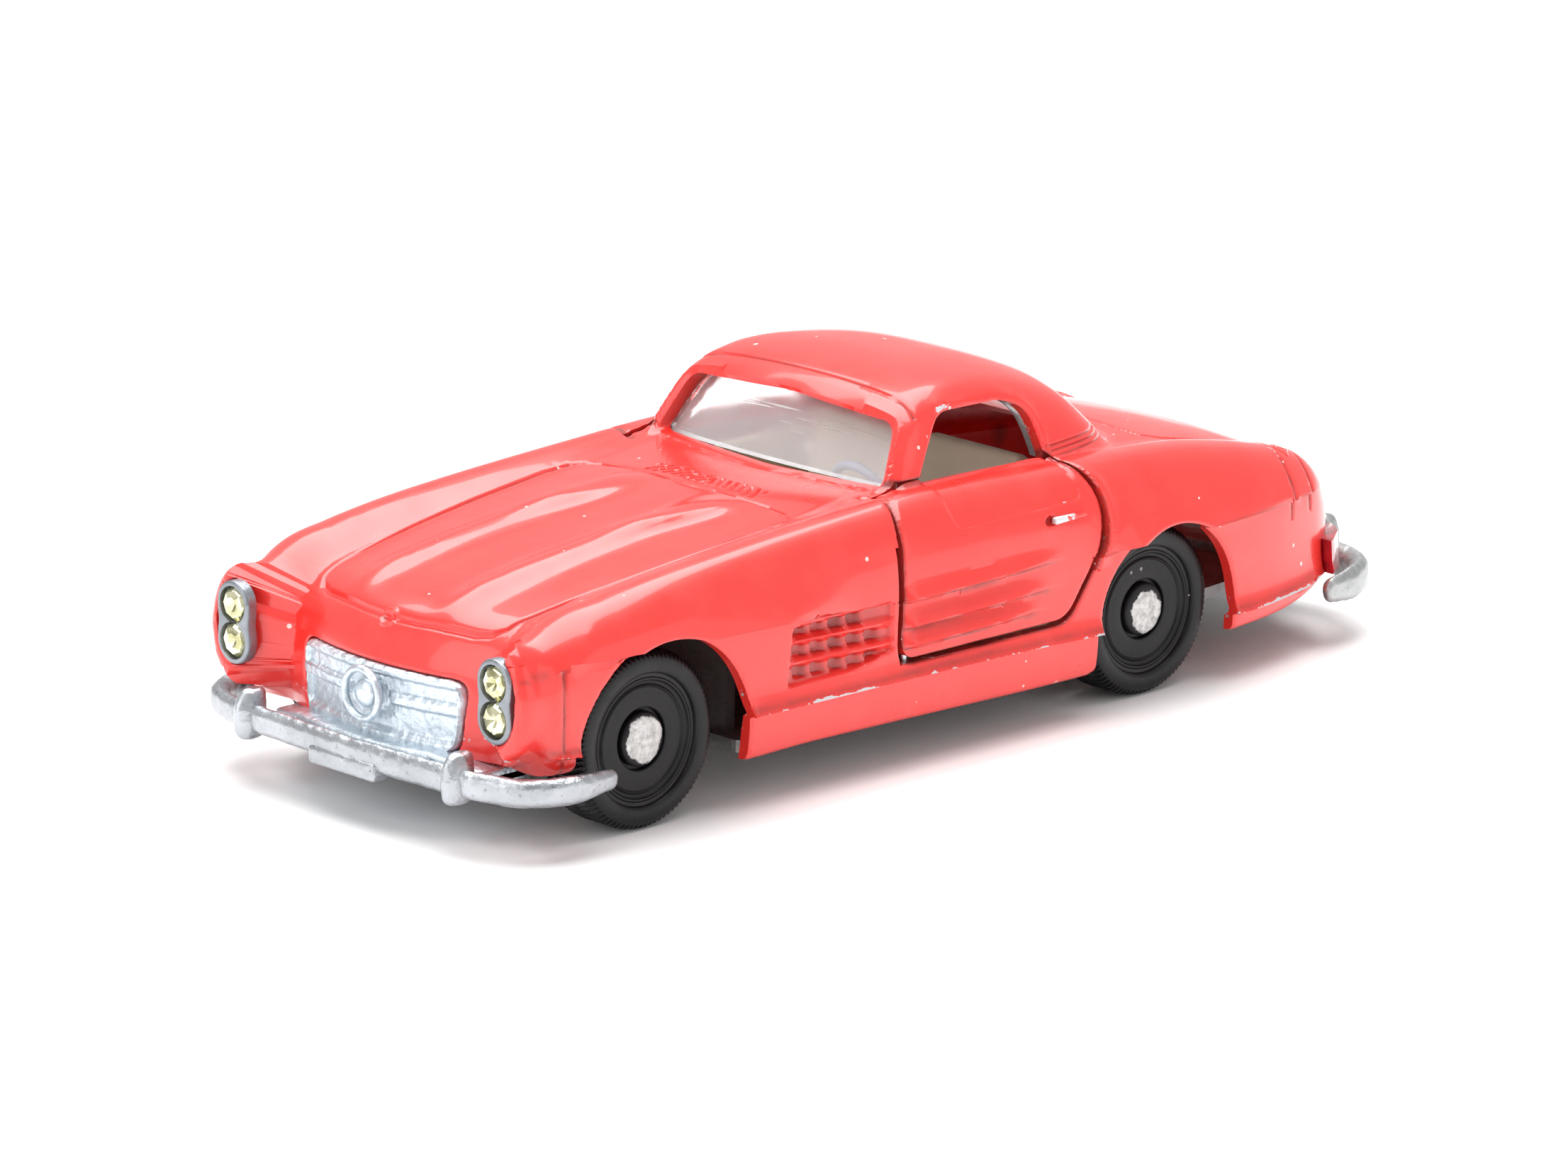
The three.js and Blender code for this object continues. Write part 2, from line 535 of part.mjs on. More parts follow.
// ---------------------------------------------------------------- base, bumpers and lamps
const PLATE_FRONT = along(-46.6);
function basePlate() {
  const edge = across(20.1) - 2.4 - PLATE_MARGIN;
  const waist = ARCH_INNER - 0.4;
  const [front, rear] = ARCHES;
  const frontBack = front.x + front.radius + PLATE_MARGIN;
  const rearFront = rear.x - rear.radius - PLATE_MARGIN;
  const right = [[PLATE_FRONT, 8.5], [along(-45.4), waist], [frontBack, waist], [frontBack, edge],
    [rearFront, edge], [rearFront, waist], [rear.x + rear.radius, waist], [along(43.6), 9.5]];
  const left = right.map(([x, y]) => [x, -y]).reverse();
  const sheet = planShape(outline([...left, ...right].reverse(), 0.8), PLATE_BOTTOM, PLATE_TOP);
  const ears = [FRONT_AXLE_X, REAR_AXLE_X].map((x) => {
    const ear = outline([[x - 2.4, PLATE_BOTTOM + 0.2], [x + 2.4, PLATE_BOTTOM + 0.2],
      [x + 1.7, TYRE_RADIUS + 1.9], [x - 1.7, TYRE_RADIUS + 1.9]], 0.6);
    return bothSides(sideShape(ear, BEARING_INNER, BEARING_OUTER));
  });
  const bulkheadX = frontBack + 1;
  const bulkhead = box(bulkheadX, bulkheadX + 1, -ARCH_INNER - 3, ARCH_INNER + 3, PLATE_BOTTOM + 0.2, 14);
  const diff = box(along(24.6), along(29.4), -6, 6, PLATE_BOTTOM + 0.2, PLATE_TOP + 3.2);
  const bearings = [FRONT_AXLE_X, REAR_AXLE_X].map((x) =>
    rod('y', AXLE_RADIUS + AXLE_CLEARANCE, 40, [x, 0, TYRE_RADIUS], 24));
  const holes = POSTS.map((x) => rod('z', RIVET_RADIUS + FIT, 4, [x, 0, PLATE_BOTTOM], 16));
  return cut(join(sheet, ...ears, diff, bulkhead), ...bearings, ...holes);
}
function rivet(x) {
  const shank = rod('z', RIVET_RADIUS, PLATE_THICKNESS + 3, [x, 0, PLATE_BOTTOM + (PLATE_THICKNESS + 3) / 2], 16);
  const head = rod('z', RIVET_HEAD_RADIUS * 0.7, RIVET_HEAD_HEIGHT,
    [x, 0, PLATE_BOTTOM - RIVET_HEAD_HEIGHT / 2], 16, RIVET_HEAD_RADIUS);
  return join(shank, head);
}
// A bar of rounded section swept round the car in plan, at one height.
function bumperBlade(plan, height, halfThickness, halfHeight) {
  const points = plan.map(([x, y]) => new THREE.Vector3(along(x), across(y), height));
  const path = new THREE.CatmullRomCurve3(points);
  const section = outline([[-halfHeight, -halfThickness], [halfHeight, -halfThickness],
    [halfHeight, halfThickness], [-halfHeight, halfThickness]], halfThickness * 0.9);
  return solid(new THREE.ExtrudeGeometry(section, { steps: 18, extrudePath: path, curveSegments: 1 }));
}
function overrider(x0, x1, y, z0, z1) {
  const profile = outline([[x0, z0 + 0.4], [x0 + 0.8, z0], [x1, z0], [x1, z1 - 1.2], [x1 - 0.6, z1],
    [x0 + 0.5, z1]], 0.6);
  return sideShape(profile, y - 1.15, y + 1.15);
}
function frontBumperGrille() {
  const bulge = GRILLE.bulge;
  const radius = (across(GRILLE.halfTop) ** 2 + bulge ** 2) / (2 * bulge);
  const front = along(GRILLE.bulgeFront);
  const drum = (proud) => rod('z', radius + proud, 30, [front + radius, 0, 12], 60);
  const back = front + bulge + 1.2;
  const panel = frontShape(grilleOutline(0.2), front - 2, back).intersect(drum(0));
  const barHeight = (GRILLE.top + GRILLE.bottom) / 2 + 0.65;
  const bar = box(front - 2, back, -across(GRILLE.halfTop) + 0.6, across(GRILLE.halfTop) - 0.6,
    barHeight - 0.35, barHeight + 0.35).intersect(drum(0.35));
  const ring = cut(rod('x', 2.25, 1.2, [front - 0.1, 0, barHeight], 28), rod('x', 1.65, 4, [front - 2.3, 0, barHeight], 28));
  const boss = rod('x', 0.8, 1.1, [front - 0.1, 0, barHeight], 16, 0.5);
  const lip = cut(frontShape(grilleOutline(0.2), front - 2, back).intersect(drum(0.5)),
    frontShape(outline([[-across(8), GRILLE.bottom + 1], [across(8), GRILLE.bottom + 1],
      [across(11), GRILLE.top + 3], [-across(11), GRILLE.top + 3]], 1), front - 3, back - 1.5));
  const apron = planShape(outline([[front - 1.2, -across(10)], [front - 1.2, across(10)],
    [PLATE_FRONT - FIT, across(9.2)], [PLATE_FRONT - FIT, -across(9.2)]].reverse(), 0.5),
    4.4, GRILLE.bottom + 0.7);
  const blade = bumperBlade([[-42.7, -19.6], [-46, -19.3], [-49.2, -17.2], [-51, -13.4], [-51.9, -8],
    [-52.2, 0], [-51.9, 8], [-51, 13.4], [-49.2, 17.2], [-46, 19.3], [-42.7, 19.6]], 5.7, 0.65, 1.2);
  const riders = bothSides(overrider(along(-53.2), along(-50.6), across(12.3), 3.9, 8.1));
  const plate = box(along(-53), along(-51.4), -3.8, 3.8, 3.6, 5.6);
  const tongue = box(back - 0.5, POSTS[0] - POST_RADIUS - FIT, -7, 7, PLATE_TOP, PLATE_TOP + 1.1);
  return join(panel, bar, ring, boss, lip, apron, blade, riders, plate, tongue);
}
function rearBumper() {
  const blade = bumperBlade([[39.8, -17.6], [44, -16.7], [47.3, -14.4], [49.1, -10.8], [49.7, -5],
    [49.8, 0], [49.7, 5], [49.1, 10.8], [47.3, 14.4], [44, 16.7], [39.8, 17.6]], 4.6, 0.65, 1.1);
  const riders = bothSides(overrider(-along(50.6), -along(48.6), across(9.2), 3.5, 8.3).mirror([1, 0, 0]));
  const tongue = box(along(40.6), along(49.8), -7, 7, PLATE_TOP, PLATE_TOP + 0.9);
  const lug = box(along(44.6), along(49.8), -7, 7, PLATE_BOTTOM, PLATE_TOP + 0.9);
  return join(blade, riders, tongue, lug);
}
const jewelHeights = [JEWEL_SPACING / 2, -JEWEL_SPACING / 2].map((d) => LAMP_HEIGHT + d);
function bezel() {
  const body = frontShape(oval(BEZEL_HALF_WIDTH, BEZEL_HALF_HEIGHT, [lampY, LAMP_HEIGHT]),
    LAMP_SEAT - BEZEL_DEPTH, LAMP_SEAT, 10);
  const pockets = jewelHeights.map((z) =>
    rod('x', JEWEL_RADIUS + FIT, JEWEL_DEPTH, [LAMP_SEAT - BEZEL_DEPTH + JEWEL_DEPTH / 2 - 0.1, lampY, z], 20));
  return cut(body, ...pockets);
}
function jewel(z) {
  const front = LAMP_SEAT - BEZEL_DEPTH - 0.1;
  return rod('x', JEWEL_RADIUS, JEWEL_DEPTH, [front + JEWEL_DEPTH / 2, lampY, z], 12);
}
function tailLamp() {
  const room = bodySolid(0.75, false, 14, 6, 0.4);
  const inside = bodySolid(-0.55, false, 14, 6, 0.4);
  return largest(cut(tailLampBlock(0).intersect(room), inside));
}

// ---------------------------------------------------------------- glass and cockpit
function glazing() {
  const outside = bodySolid(-SHELL_WALL - GLASS_GAP, false, ...INNER_GRID);
  const inside = bodySolid(-SHELL_WALL - GLASS_GAP - GLASS_WALL, false, ...INNER_GRID);
  const zone = box(along(-9), along(22), -across(13.4), across(13.4), lift(20.95), ROOF_TOP + 1);
  return largest(cut(outside.intersect(zone), inside, bothSides(windowCutter())));
}
const TUB_HALF = 14.6;
const DASH_BOTTOM = 15.2;
function interiorTub() {
  const half = across(TUB_HALF);
  const floor = PLATE_TOP + 0.6;
  const tray = cut(box(along(-9.5), along(14.6), -half, half, floor, 18.6),
    box(along(-8.6), along(13.6), -half + 0.9, half - 0.9, floor + 0.9, 30),
    box(along(-10), along(-5.4), -half - 1, half + 1, DASH_BOTTOM - 0.2, 30),
    bothSides(box(REAR_AXLE_X - TYRE_RADIUS - 1, along(16), ARCH_INNER - 0.3, half + 1, 0, 30)));
  const seat = (y) => join(
    sideShape(outline([[along(-2), floor + 0.5], [along(9.6), floor + 0.5], [along(11.6), 20.4],
      [along(9.4), 20.8], [along(7.2), 13], [along(-2), 13.4]], 1.1), y - across(5.2), y + across(5.2)));
  const shelf = ARCH_INNER - 0.3;
  const bulkhead = box(along(11), along(14.6), -shelf, shelf, floor, 19);
  return join(tray, seat(across(6.2)), seat(-across(6.2)), bulkhead);
}
function dashboard() {
  const profile = outline([[along(-12.2), DASH_BOTTOM], [along(-7.2), DASH_BOTTOM], [along(-6), 18.2],
    [along(-6.9), 19.1], [along(-12.2), 18.7]], 0.7);
  const crossPiece = sideShape(profile, -across(12.6), across(12.6));
  const pod = rod('x', 1.5, 1.6, [along(-6.4), -across(7), 18.2], 20);
  const legs = box(along(-12.2), along(-10), -across(12.6), across(12.6), PLATE_TOP + 0.6,
    DASH_BOTTOM + 0.4);
  return join(crossPiece, pod, legs);
}
const STEER = { radius: 3.3, tube: 0.42, tilt: 0.42 };
function steeringWheel() {
  const centre = [along(-3), -across(7), 18.3];
  const rim = new THREE.TorusGeometry(STEER.radius, STEER.tube, 8, 28);
  const bar = new THREE.BoxGeometry(2 * STEER.radius, 0.7, 0.5);
  const post = new THREE.BoxGeometry(0.7, STEER.radius, 0.5).translate(0, -STEER.radius / 2, 0);
  const column = new THREE.CylinderGeometry(0.55, 0.55, 2, 12).rotateX(Math.PI / 2).translate(0, 0, -0.75);
  const pose = new THREE.Matrix4().makeBasis(
    new THREE.Vector3(0, 1, 0),
    new THREE.Vector3(-Math.sin(STEER.tilt), 0, Math.cos(STEER.tilt)),
    new THREE.Vector3(Math.cos(STEER.tilt), 0, Math.sin(STEER.tilt))).setPosition(...centre);
  return join(...[rim, bar, post, column].map((shape) => solid(shape.applyMatrix4(pose))));
}

// ---------------------------------------------------------------- wheels
const WHEEL_Y = TYRE_FACE + WIDEN;
const WHEEL_SIDES = 26;
function lathe(points, axleX) {
  const profile = points.map(([radius, y]) => new THREE.Vector2(radius, y));
  const shape = new THREE.LatheGeometry(profile, WHEEL_SIDES);
  return solid(shape.translate(axleX, 0, TYRE_RADIUS));
}
function tyre(axleX) {
  const face = WHEEL_Y;
  const back = face - TYRE_WIDTH;
  const groove = RIM_RADIUS + 0.9;
  return lathe([[RIM_RADIUS, back], [TYRE_RADIUS - 0.4, back], [TYRE_RADIUS, back + 0.7],
    [TYRE_RADIUS, face - 0.7], [TYRE_RADIUS - 0.15, face], [groove, face], [groove - 0.3, face - 0.4],
    [RIM_RADIUS, face - 0.4], [RIM_RADIUS, back]], axleX);
}
function hub(axleX) {
  const face = WHEEL_Y - 0.4;
  const back = WHEEL_Y - TYRE_WIDTH + 0.5;
  const bore = AXLE_RADIUS + 0.01;
  const boreEnd = WHEEL_Y - HUB_BORE_SET;
  const rim = RIM_RADIUS - 0.02;
  const disc = WHEEL_Y - HUB_DISC_SET;
  return lathe([[0, boreEnd], [bore, boreEnd], [bore, back], [rim, back], [rim, face], [rim - 0.4, face],
    [rim - 0.7, disc], [HUB_WELL_RADIUS, disc], [HUB_WELL_RADIUS, disc - HUB_WELL_DEPTH],
    [HUB_DOME_RADIUS, disc - HUB_WELL_DEPTH], [HUB_DOME_RADIUS, disc], [HUB_DOME_RADIUS * 0.7, disc + 0.27],
    [0, disc + 0.36]], axleX);
}
function axle(axleX) {
  const half = WHEEL_Y - HUB_BORE_SET - 0.05;
  return rod('y', AXLE_RADIUS, 2 * half, [axleX, 0, TYRE_RADIUS], 20);
}

// ---------------------------------------------------------------- the assembly
const FINISH = {
  paint: { color: 0xd92b27, roughness: 0.3, metalness: 0.1 },
  castMetal: { color: 0xb4b8bc, roughness: 0.45, metalness: 0.9 },
  darkMetal: { color: 0x6f7276, roughness: 0.6, metalness: 0.8 },
  steel: { color: 0xc9cbcd, roughness: 0.3, metalness: 1 },
  jewel: { color: 0xf2ecc0, roughness: 0.08, metalness: 0 },
  redLens: { color: 0xa8121c, roughness: 0.12, metalness: 0 },
  clear: { color: 0xe8eef0, roughness: 0.08, metalness: 0 },
  trim: { color: 0xd8cdb2, roughness: 0.6, metalness: 0 },
  dash: { color: 0x7f8a94, roughness: 0.5, metalness: 0 },
  hubBlack: { color: 0x17181a, roughness: 0.5, metalness: 0 },
  rubber: { color: 0x141414, roughness: 0.8, metalness: 0 },
};
const model = new THREE.Group();
function node(name, finish, piece) {
  const { vertProperties, triVerts, numProp } = piece.getMesh();
  const points = [];
  for (let i = 0; i < vertProperties.length; i += numProp) {
    points.push(new THREE.Vector3(...vertProperties.slice(i, i + 3)));
  }
  const faces = [];
  for (let i = 0; i < triVerts.length; i += 3) faces.push([...triVerts.slice(i, i + 3)]);
  const geometry = new THREE.BufferGeometry().setFromPoints(points);
  geometry.setIndex(withoutSlivers(points, faces).flat());
  geometry.computeVertexNormals();
  const mesh = new THREE.Mesh(geometry, new THREE.MeshStandardMaterial(FINISH[finish]));
  mesh.name = name;
  model.add(mesh);
}
function pair(name, finish, rightPiece) {
  node(`${name}_right`, finish, rightPiece);
  node(`${name}_left`, finish, mirrorSide(rightPiece));
}

node('body_shell', 'paint', bodyShell());
pair('door', 'paint', rightDoor());
pair('door_hinge_pin', 'steel', hingePin(HINGE_PIN_RADIUS, HINGE_BOTTOM, HINGE_TOP - 1));
node('base_plate', 'darkMetal', basePlate());
node('front_bumper_grille', 'castMetal', frontBumperGrille());
node('rear_bumper', 'castMetal', rearBumper());
pair('headlight_bezel', 'darkMetal', bezel());
pair('headlight_jewel_upper', 'jewel', jewel(jewelHeights[0]));
pair('headlight_jewel_lower', 'jewel', jewel(jewelHeights[1]));
pair('tail_light', 'redLens', tailLamp());
node('glazing', 'clear', glazing());
node('interior_tub', 'trim', interiorTub());
node('dashboard', 'dash', dashboard());
node('steering_wheel', 'dash', steeringWheel());
[['front', FRONT_AXLE_X], ['rear', REAR_AXLE_X]].forEach(([end, x]) => {
  node(`axle_${end}`, 'steel', axle(x));
  pair(`wheel_hub_${end}`, 'hubBlack', hub(x));
  pair(`tyre_${end}`, 'rubber', tyre(x));
});
node('base_rivet_front', 'castMetal', rivet(POSTS[0]));
node('base_rivet_rear', 'castMetal', rivet(POSTS[1]));

export default model;
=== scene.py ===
"""Diecast model of a two-seat sports roadster with its hard top on, 1:43.

Shapes are drawn in millimetres in the form's own frame, X from nose to tail, then carried to the
CAD frame by the place of its front axle.
"""

import json
import math

import bmesh
import bpy
import numpy as np
from mathutils import Matrix, Vector, noise

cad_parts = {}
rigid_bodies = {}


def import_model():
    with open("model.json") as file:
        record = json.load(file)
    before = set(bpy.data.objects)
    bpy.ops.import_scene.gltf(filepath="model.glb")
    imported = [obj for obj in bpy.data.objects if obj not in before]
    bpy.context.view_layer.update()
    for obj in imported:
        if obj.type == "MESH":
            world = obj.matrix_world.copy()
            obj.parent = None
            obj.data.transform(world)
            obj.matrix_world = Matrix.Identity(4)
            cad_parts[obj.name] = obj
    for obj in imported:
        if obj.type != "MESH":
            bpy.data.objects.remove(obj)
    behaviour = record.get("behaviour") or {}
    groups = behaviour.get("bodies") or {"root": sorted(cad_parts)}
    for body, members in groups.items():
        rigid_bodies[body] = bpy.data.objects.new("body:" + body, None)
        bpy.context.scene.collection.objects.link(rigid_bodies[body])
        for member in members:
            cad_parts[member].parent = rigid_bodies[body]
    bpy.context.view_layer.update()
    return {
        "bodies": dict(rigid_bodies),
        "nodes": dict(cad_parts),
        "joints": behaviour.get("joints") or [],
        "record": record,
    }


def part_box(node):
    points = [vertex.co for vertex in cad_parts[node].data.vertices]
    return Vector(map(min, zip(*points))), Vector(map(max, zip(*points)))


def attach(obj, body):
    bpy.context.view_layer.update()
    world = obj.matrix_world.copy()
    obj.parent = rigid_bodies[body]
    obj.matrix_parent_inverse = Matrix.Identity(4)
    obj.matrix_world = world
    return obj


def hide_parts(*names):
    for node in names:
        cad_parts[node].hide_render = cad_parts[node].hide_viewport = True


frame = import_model()

MM = 0.001
DRAWN_FRONT_AXLE = -36.78


def middle(name):
    low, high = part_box(name)
    return (low + high) / 2 / MM


def size(name):
    low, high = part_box(name)
    return (high - low) / MM


SHIFT = middle("axle_front").x - DRAWN_FRONT_AXLE
AXLES = {end: middle(f"axle_{end}").x - SHIFT for end in ("front", "rear")}
AXLE_Z = middle("axle_front").z
TYRE_RADIUS = size("tyre_front_left").z / 2
TYRE_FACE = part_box("tyre_front_right")[1].y / MM
TYRE_WIDTH = size("tyre_front_right").y
LAMP_SIDE = middle("headlight_bezel_right").y
LAMP_HEIGHT = middle("headlight_bezel_right").z
LAMP_FRONT = -50.5
LAMP_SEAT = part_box("headlight_bezel_right")[1].x / MM - SHIFT
LAMP_HOLE = (2.22, 3.52)
LAMP_SPACING = 1.465
SHELL_WALL = 1.1
DOOR_WALL = 1.25
DOOR_REACH = (14.4, 26)  # how far in and out of the body the cut for a door panel goes
HUB_DISC = TYRE_FACE - 0.66
SIDES = (("right", 1), ("left", -1))


# ---------------------------------------------------------------- curves of the body
def ease(a, b, x):
    t = np.clip((x - a) / (b - a), 0, 1)
    return t * t * (3 - 2 * t)


def hill(value, width):
    """1 where the value is 0, falling away smoothly on both sides."""
    return np.exp(-(value / width) ** 2)


def smooth_max(a, b, k):
    h = np.clip(0.5 + 0.5 * (a - b) / k, 0, 1)
    return b + (a - b) * h + k * h * (1 - h)


def smooth_min(a, b, k):
    return -smooth_max(-a, -b, k)


def curve(*points):
    """A smooth curve through points, held level past its ends."""
    xs = np.array([p[0] for p in points], float)
    vs = np.array([p[1] for p in points], float)
    slope = np.diff(vs) / np.diff(xs)
    tangent = np.concatenate([slope[:1], (slope[1:] + slope[:-1]) / 2, slope[-1:]])

    def at(x):
        x = np.clip(x, xs[0], xs[-1])
        i = np.clip(np.searchsorted(xs, x) - 1, 0, len(xs) - 2)
        h = xs[i + 1] - xs[i]
        t = (x - xs[i]) / h
        u = 1 - t
        return ((1 + 2 * t) * u * u * vs[i] + t * u * u * h * tangent[i]
                + t * t * (3 - 2 * t) * vs[i + 1] - t * t * u * h * tangent[i + 1])
    return at


side_line = curve((-52, 18), (-48, 19), (-42, 19.7), (-35, 20.1), (-20, 20.2), (-5, 20.4),
                  (8, 20.5), (19, 20.5), (28, 20), (35, 18.9), (41, 17.2), (48, 14.6))
crown_height = curve((-52, 15.6), (-49, 17), (-44, 18.2), (-36, 19.5), (-26, 20.4), (-14, 21.1),
                     (-4, 21.5), (10, 20.9), (20, 20.4), (25, 19.9), (29, 19.2), (34, 18.1),
                     (39, 16.7), (43, 14.9), (48, 11.5))
crown_line = curve((-52, 15), (-40, 15.4), (-20, 15.6), (0, 15.6), (12, 15.4), (24, 14.6),
                   (34, 13.6), (48, 11.5))
valley_height = curve((-52, 13.4), (-49, 14.9), (-46.3, 16.1), (-40, 17.5), (-30, 18.9),
                      (-16, 20.1), (-4, 20.7), (10, 20.3), (20, 19.8), (25, 19.3), (29, 18.6),
                      (34, 17.6), (39, 16.2), (43, 14.4), (48, 11.3))
spine_height = curve((-52, 13), (-50.4, 14.6), (-48.4, 16.2), (-46, 17.1), (-40, 18.3),
                     (-30, 19.4), (-20, 20.1), (-12, 20.5), (-4, 20.8), (16, 20.8), (22, 20.6),
                     (26, 20.1), (30, 19.35), (34, 18.4), (38, 17.2), (42, 15.4), (46, 12.8),
                     (48, 11.2))
front_flare_height = curve((-52, 14.6), (-41, 15.1), (-30, 14.9), (-22, 14.6), (-14, 14.2))
rear_flare_height = curve((11, 13.9), (30, 13.8), (42, 13.5))
hem_height = curve((-52, 5.7), (-48, 5.9), (-44, 6.4), (-40, 5), (-30, 3.9), (-20, 3.9),
                   (12, 3.5), (27, 4), (37, 4.3), (44, 5.6), (48, 6.5))
sill_height = curve((-52, 7.9), (-28, 7.7), (12, 7.1), (28, 5.7), (40, 5.9), (48, 6.2))
roof_height = curve((-7, 26), (-4.4, 27.6), (-2.2, 28.35), (1.5, 28.85), (5, 28.8), (9, 28.3),
                    (12, 27.5), (15, 26.3), (18, 24.4), (21, 22.2), (24, 20.2))
BELT = 20.5


def flare_height(x):
    return np.where(x < 0, front_flare_height(x), rear_flare_height(x))


def flare_reach(x):
    front = ease(-53, -46, x) * (1 - ease(-26, -15, x))
    rear = ease(9.5, 15, x) * (1 - ease(34, 47, x))
    return 1.25 * (front + rear)


def tuck(x, z):
    """How far the side lies inside the side line at a height."""
    sill = sill_height(x)
    below = 1 + 0.25 * ((sill - z) / 3) ** 2
    over = 0.25 + 0.75 * (1 - np.exp(np.minimum(sill - z, 0) / 0.9))
    over += 0.02 * np.maximum(z - 13.5, 0) ** 2 + 0.05 * np.maximum(z - 18, 0) ** 2
    inset = below + (over - below) * ease(-0.2, 0, z - sill)
    above = z - flare_height(x)
    fade = 1 - np.clip(above / 4.5, 0, 1)
    return inset - flare_reach(x) * ease(-0.3, 0, above) * fade * fade * (3 - 2 * fade)


def upper_surface(x, y):
    crown_y, crown = crown_line(x), crown_height(x)
    valley, spine = valley_height(x), spine_height(x)
    valley_y = np.where(x < 5, 11.6 - 0.3 * ease(-20, -46, x), 11.4 - 0.8 * ease(25, 45, x))
    height = spine + (valley - spine) * np.clip(y / valley_y, 0, 1) ** 2.2
    rise = valley + (crown - valley) * ease(0, 1, (y - valley_y) / (crown_y - valley_y))
    height = np.where(y >= valley_y, rise, height)
    out = np.maximum(y - crown_y, 0)
    height = np.where(out > 0, crown - 0.045 * out ** 2 - 0.02 * out ** 3, height)
    bulge = np.exp(-1.6 * ((y - 5.15) / 1.9) ** 2)
    return height + 0.75 * bulge * ease(-48.5, -42, x) * (1 - ease(-20, -15.5, x))


def nose_line(y, z):
    return (-49.9 + 0.016 * np.minimum(y, 12) ** 2 + 0.03 * np.maximum(z - 9, 0) ** 2
            + 0.03 * np.maximum(7 - z, 0) ** 2)


def tail_line(y, z):
    return (47.6 - 0.016 * y * y - 0.035 * np.maximum(z - 9, 0) ** 2
            - 0.03 * np.maximum(7 - z, 0) ** 2)


def hard_top(x, y, z):
    up = np.maximum(z - BELT, 0)
    crown = roof_height(x) - 0.0035 * y * y - (0.00002 + 0.000004 * np.clip(x, 0, 20)) * y ** 4
    side = y - (14.9 - 0.33 * up - 0.004 * up * up - 0.028 * np.maximum(x - 6, 0) ** 1.7)
    screen = (-8.9 + 0.004 * y * y + (z - 20.1) * 0.62 - x) * 0.85
    back = (x - (22.6 - 0.012 * y * y - (z - 20.3) * 0.8)) * 0.78
    return smooth_max(smooth_max(smooth_max(z - crown, side, 1.8), screen, 1), back, 2.6)


def lamp_pod(x, y, z):
    """A rounded upright oval that stands out of the front wing and holds the lamps."""
    ring = (np.hypot((y - LAMP_SIDE) / 3.0, (z - 12.1) / 4.85) - 1) * 3.4
    return smooth_max(smooth_max(ring, LAMP_FRONT - 0.25 - x, 1.3), x + 42, 1.0)


def body_field(x, y, z, level, closed_below):
    """Negative inside the body. level moves the surface in or out."""
    field = smooth_max(y - side_line(x) + tuck(x, z), (z - upper_surface(x, y)) * 0.93, 2.6)
    field = smooth_max(field, nose_line(y, z) - x, 2.6)
    field = smooth_max(field, x - tail_line(y, z), 3.4)
    field = smooth_min(field, hard_top(x, y, z), 0.9)
    field = smooth_min(field, lamp_pod(x, y, z), 1.9) - level
    if closed_below:
        return smooth_max(field, hem_height(x) - z, 0.9)
    return np.maximum(field, -4 - z)


# ---------------------------------------------------------------- outlines
def rounded(points, radius, steps=6):
    """A closed outline of (a, b) points with its corners rounded."""
    made = []
    count = len(points)
    for i, corner in enumerate(points):
        corner = Vector(corner)
        start = Vector(points[i - 1]) - corner
        end = Vector(points[(i + 1) % count]) - corner
        reach = min(radius, start.length / 2.1, end.length / 2.1)
        start = corner + start.normalized() * reach
        end = corner + end.normalized() * reach
        for k in range(steps + 1):
            t = k / steps
            made.append(tuple((1 - t) ** 2 * start + 2 * t * (1 - t) * corner + t * t * end))
    return made


def oval(half_width, half_height, centre, steps=48):
    turns = [2 * math.pi * k / steps for k in range(steps)]
    return [(centre[0] + half_width * math.cos(t), centre[1] + half_height * math.sin(t))
            for t in turns]


FAR = 9.0


def only(where, distance):
    """A distance where it counts, and a large one elsewhere."""
    return np.where(where, distance, FAR)


def on(where, height):
    """A height where it counts, and none elsewhere."""
    return np.where(where, height, 0)


def line_distance(a, b, points, closed=False):
    """Distance of many (a, b) places from a line of points."""
    best = np.full(np.shape(a), 1e9)
    pairs = list(zip(points, points[1:] + points[:1])) if closed else list(zip(points, points[1:]))
    for (a0, b0), (a1, b1) in pairs:
        da, db = a1 - a0, b1 - b0
        t = np.clip(((a - a0) * da + (b - b0) * db) / max(da * da + db * db, 1e-12), 0, 1)
        best = np.minimum(best, np.hypot(a - a0 - t * da, b - b0 - t * db))
    return best


def inside(a, b, points):
    odd = np.zeros(np.shape(a), bool)
    for (a0, b0), (a1, b1) in zip(points, points[1:] + points[:1]):
        if b0 != b1:
            odd ^= ((b0 > b) != (b1 > b)) & (a < (a1 - a0) * (b - b0) / (b1 - b0) + a0)
    return odd


def signed_distance(a, b, points):
    """Distance from an outline, positive outside it."""
    away = line_distance(a, b, points, closed=True)
    return np.where(inside(a, b, points), -away, away)


DOOR_GAP = 0.42
DOOR_FRONT = -11.6


def door_outline(gap):
    return rounded([(DOOR_FRONT + gap, 8.7 + gap), (7.6 - gap, 8.7 + gap), (11.2 - gap, 13.6),
                    (12 - gap, 17.4), (11.6 - gap, 19.8), (9.8, 21.9), (-9.6, 21.9),
                    (-10.9 + gap, 19.4)], 1.6)


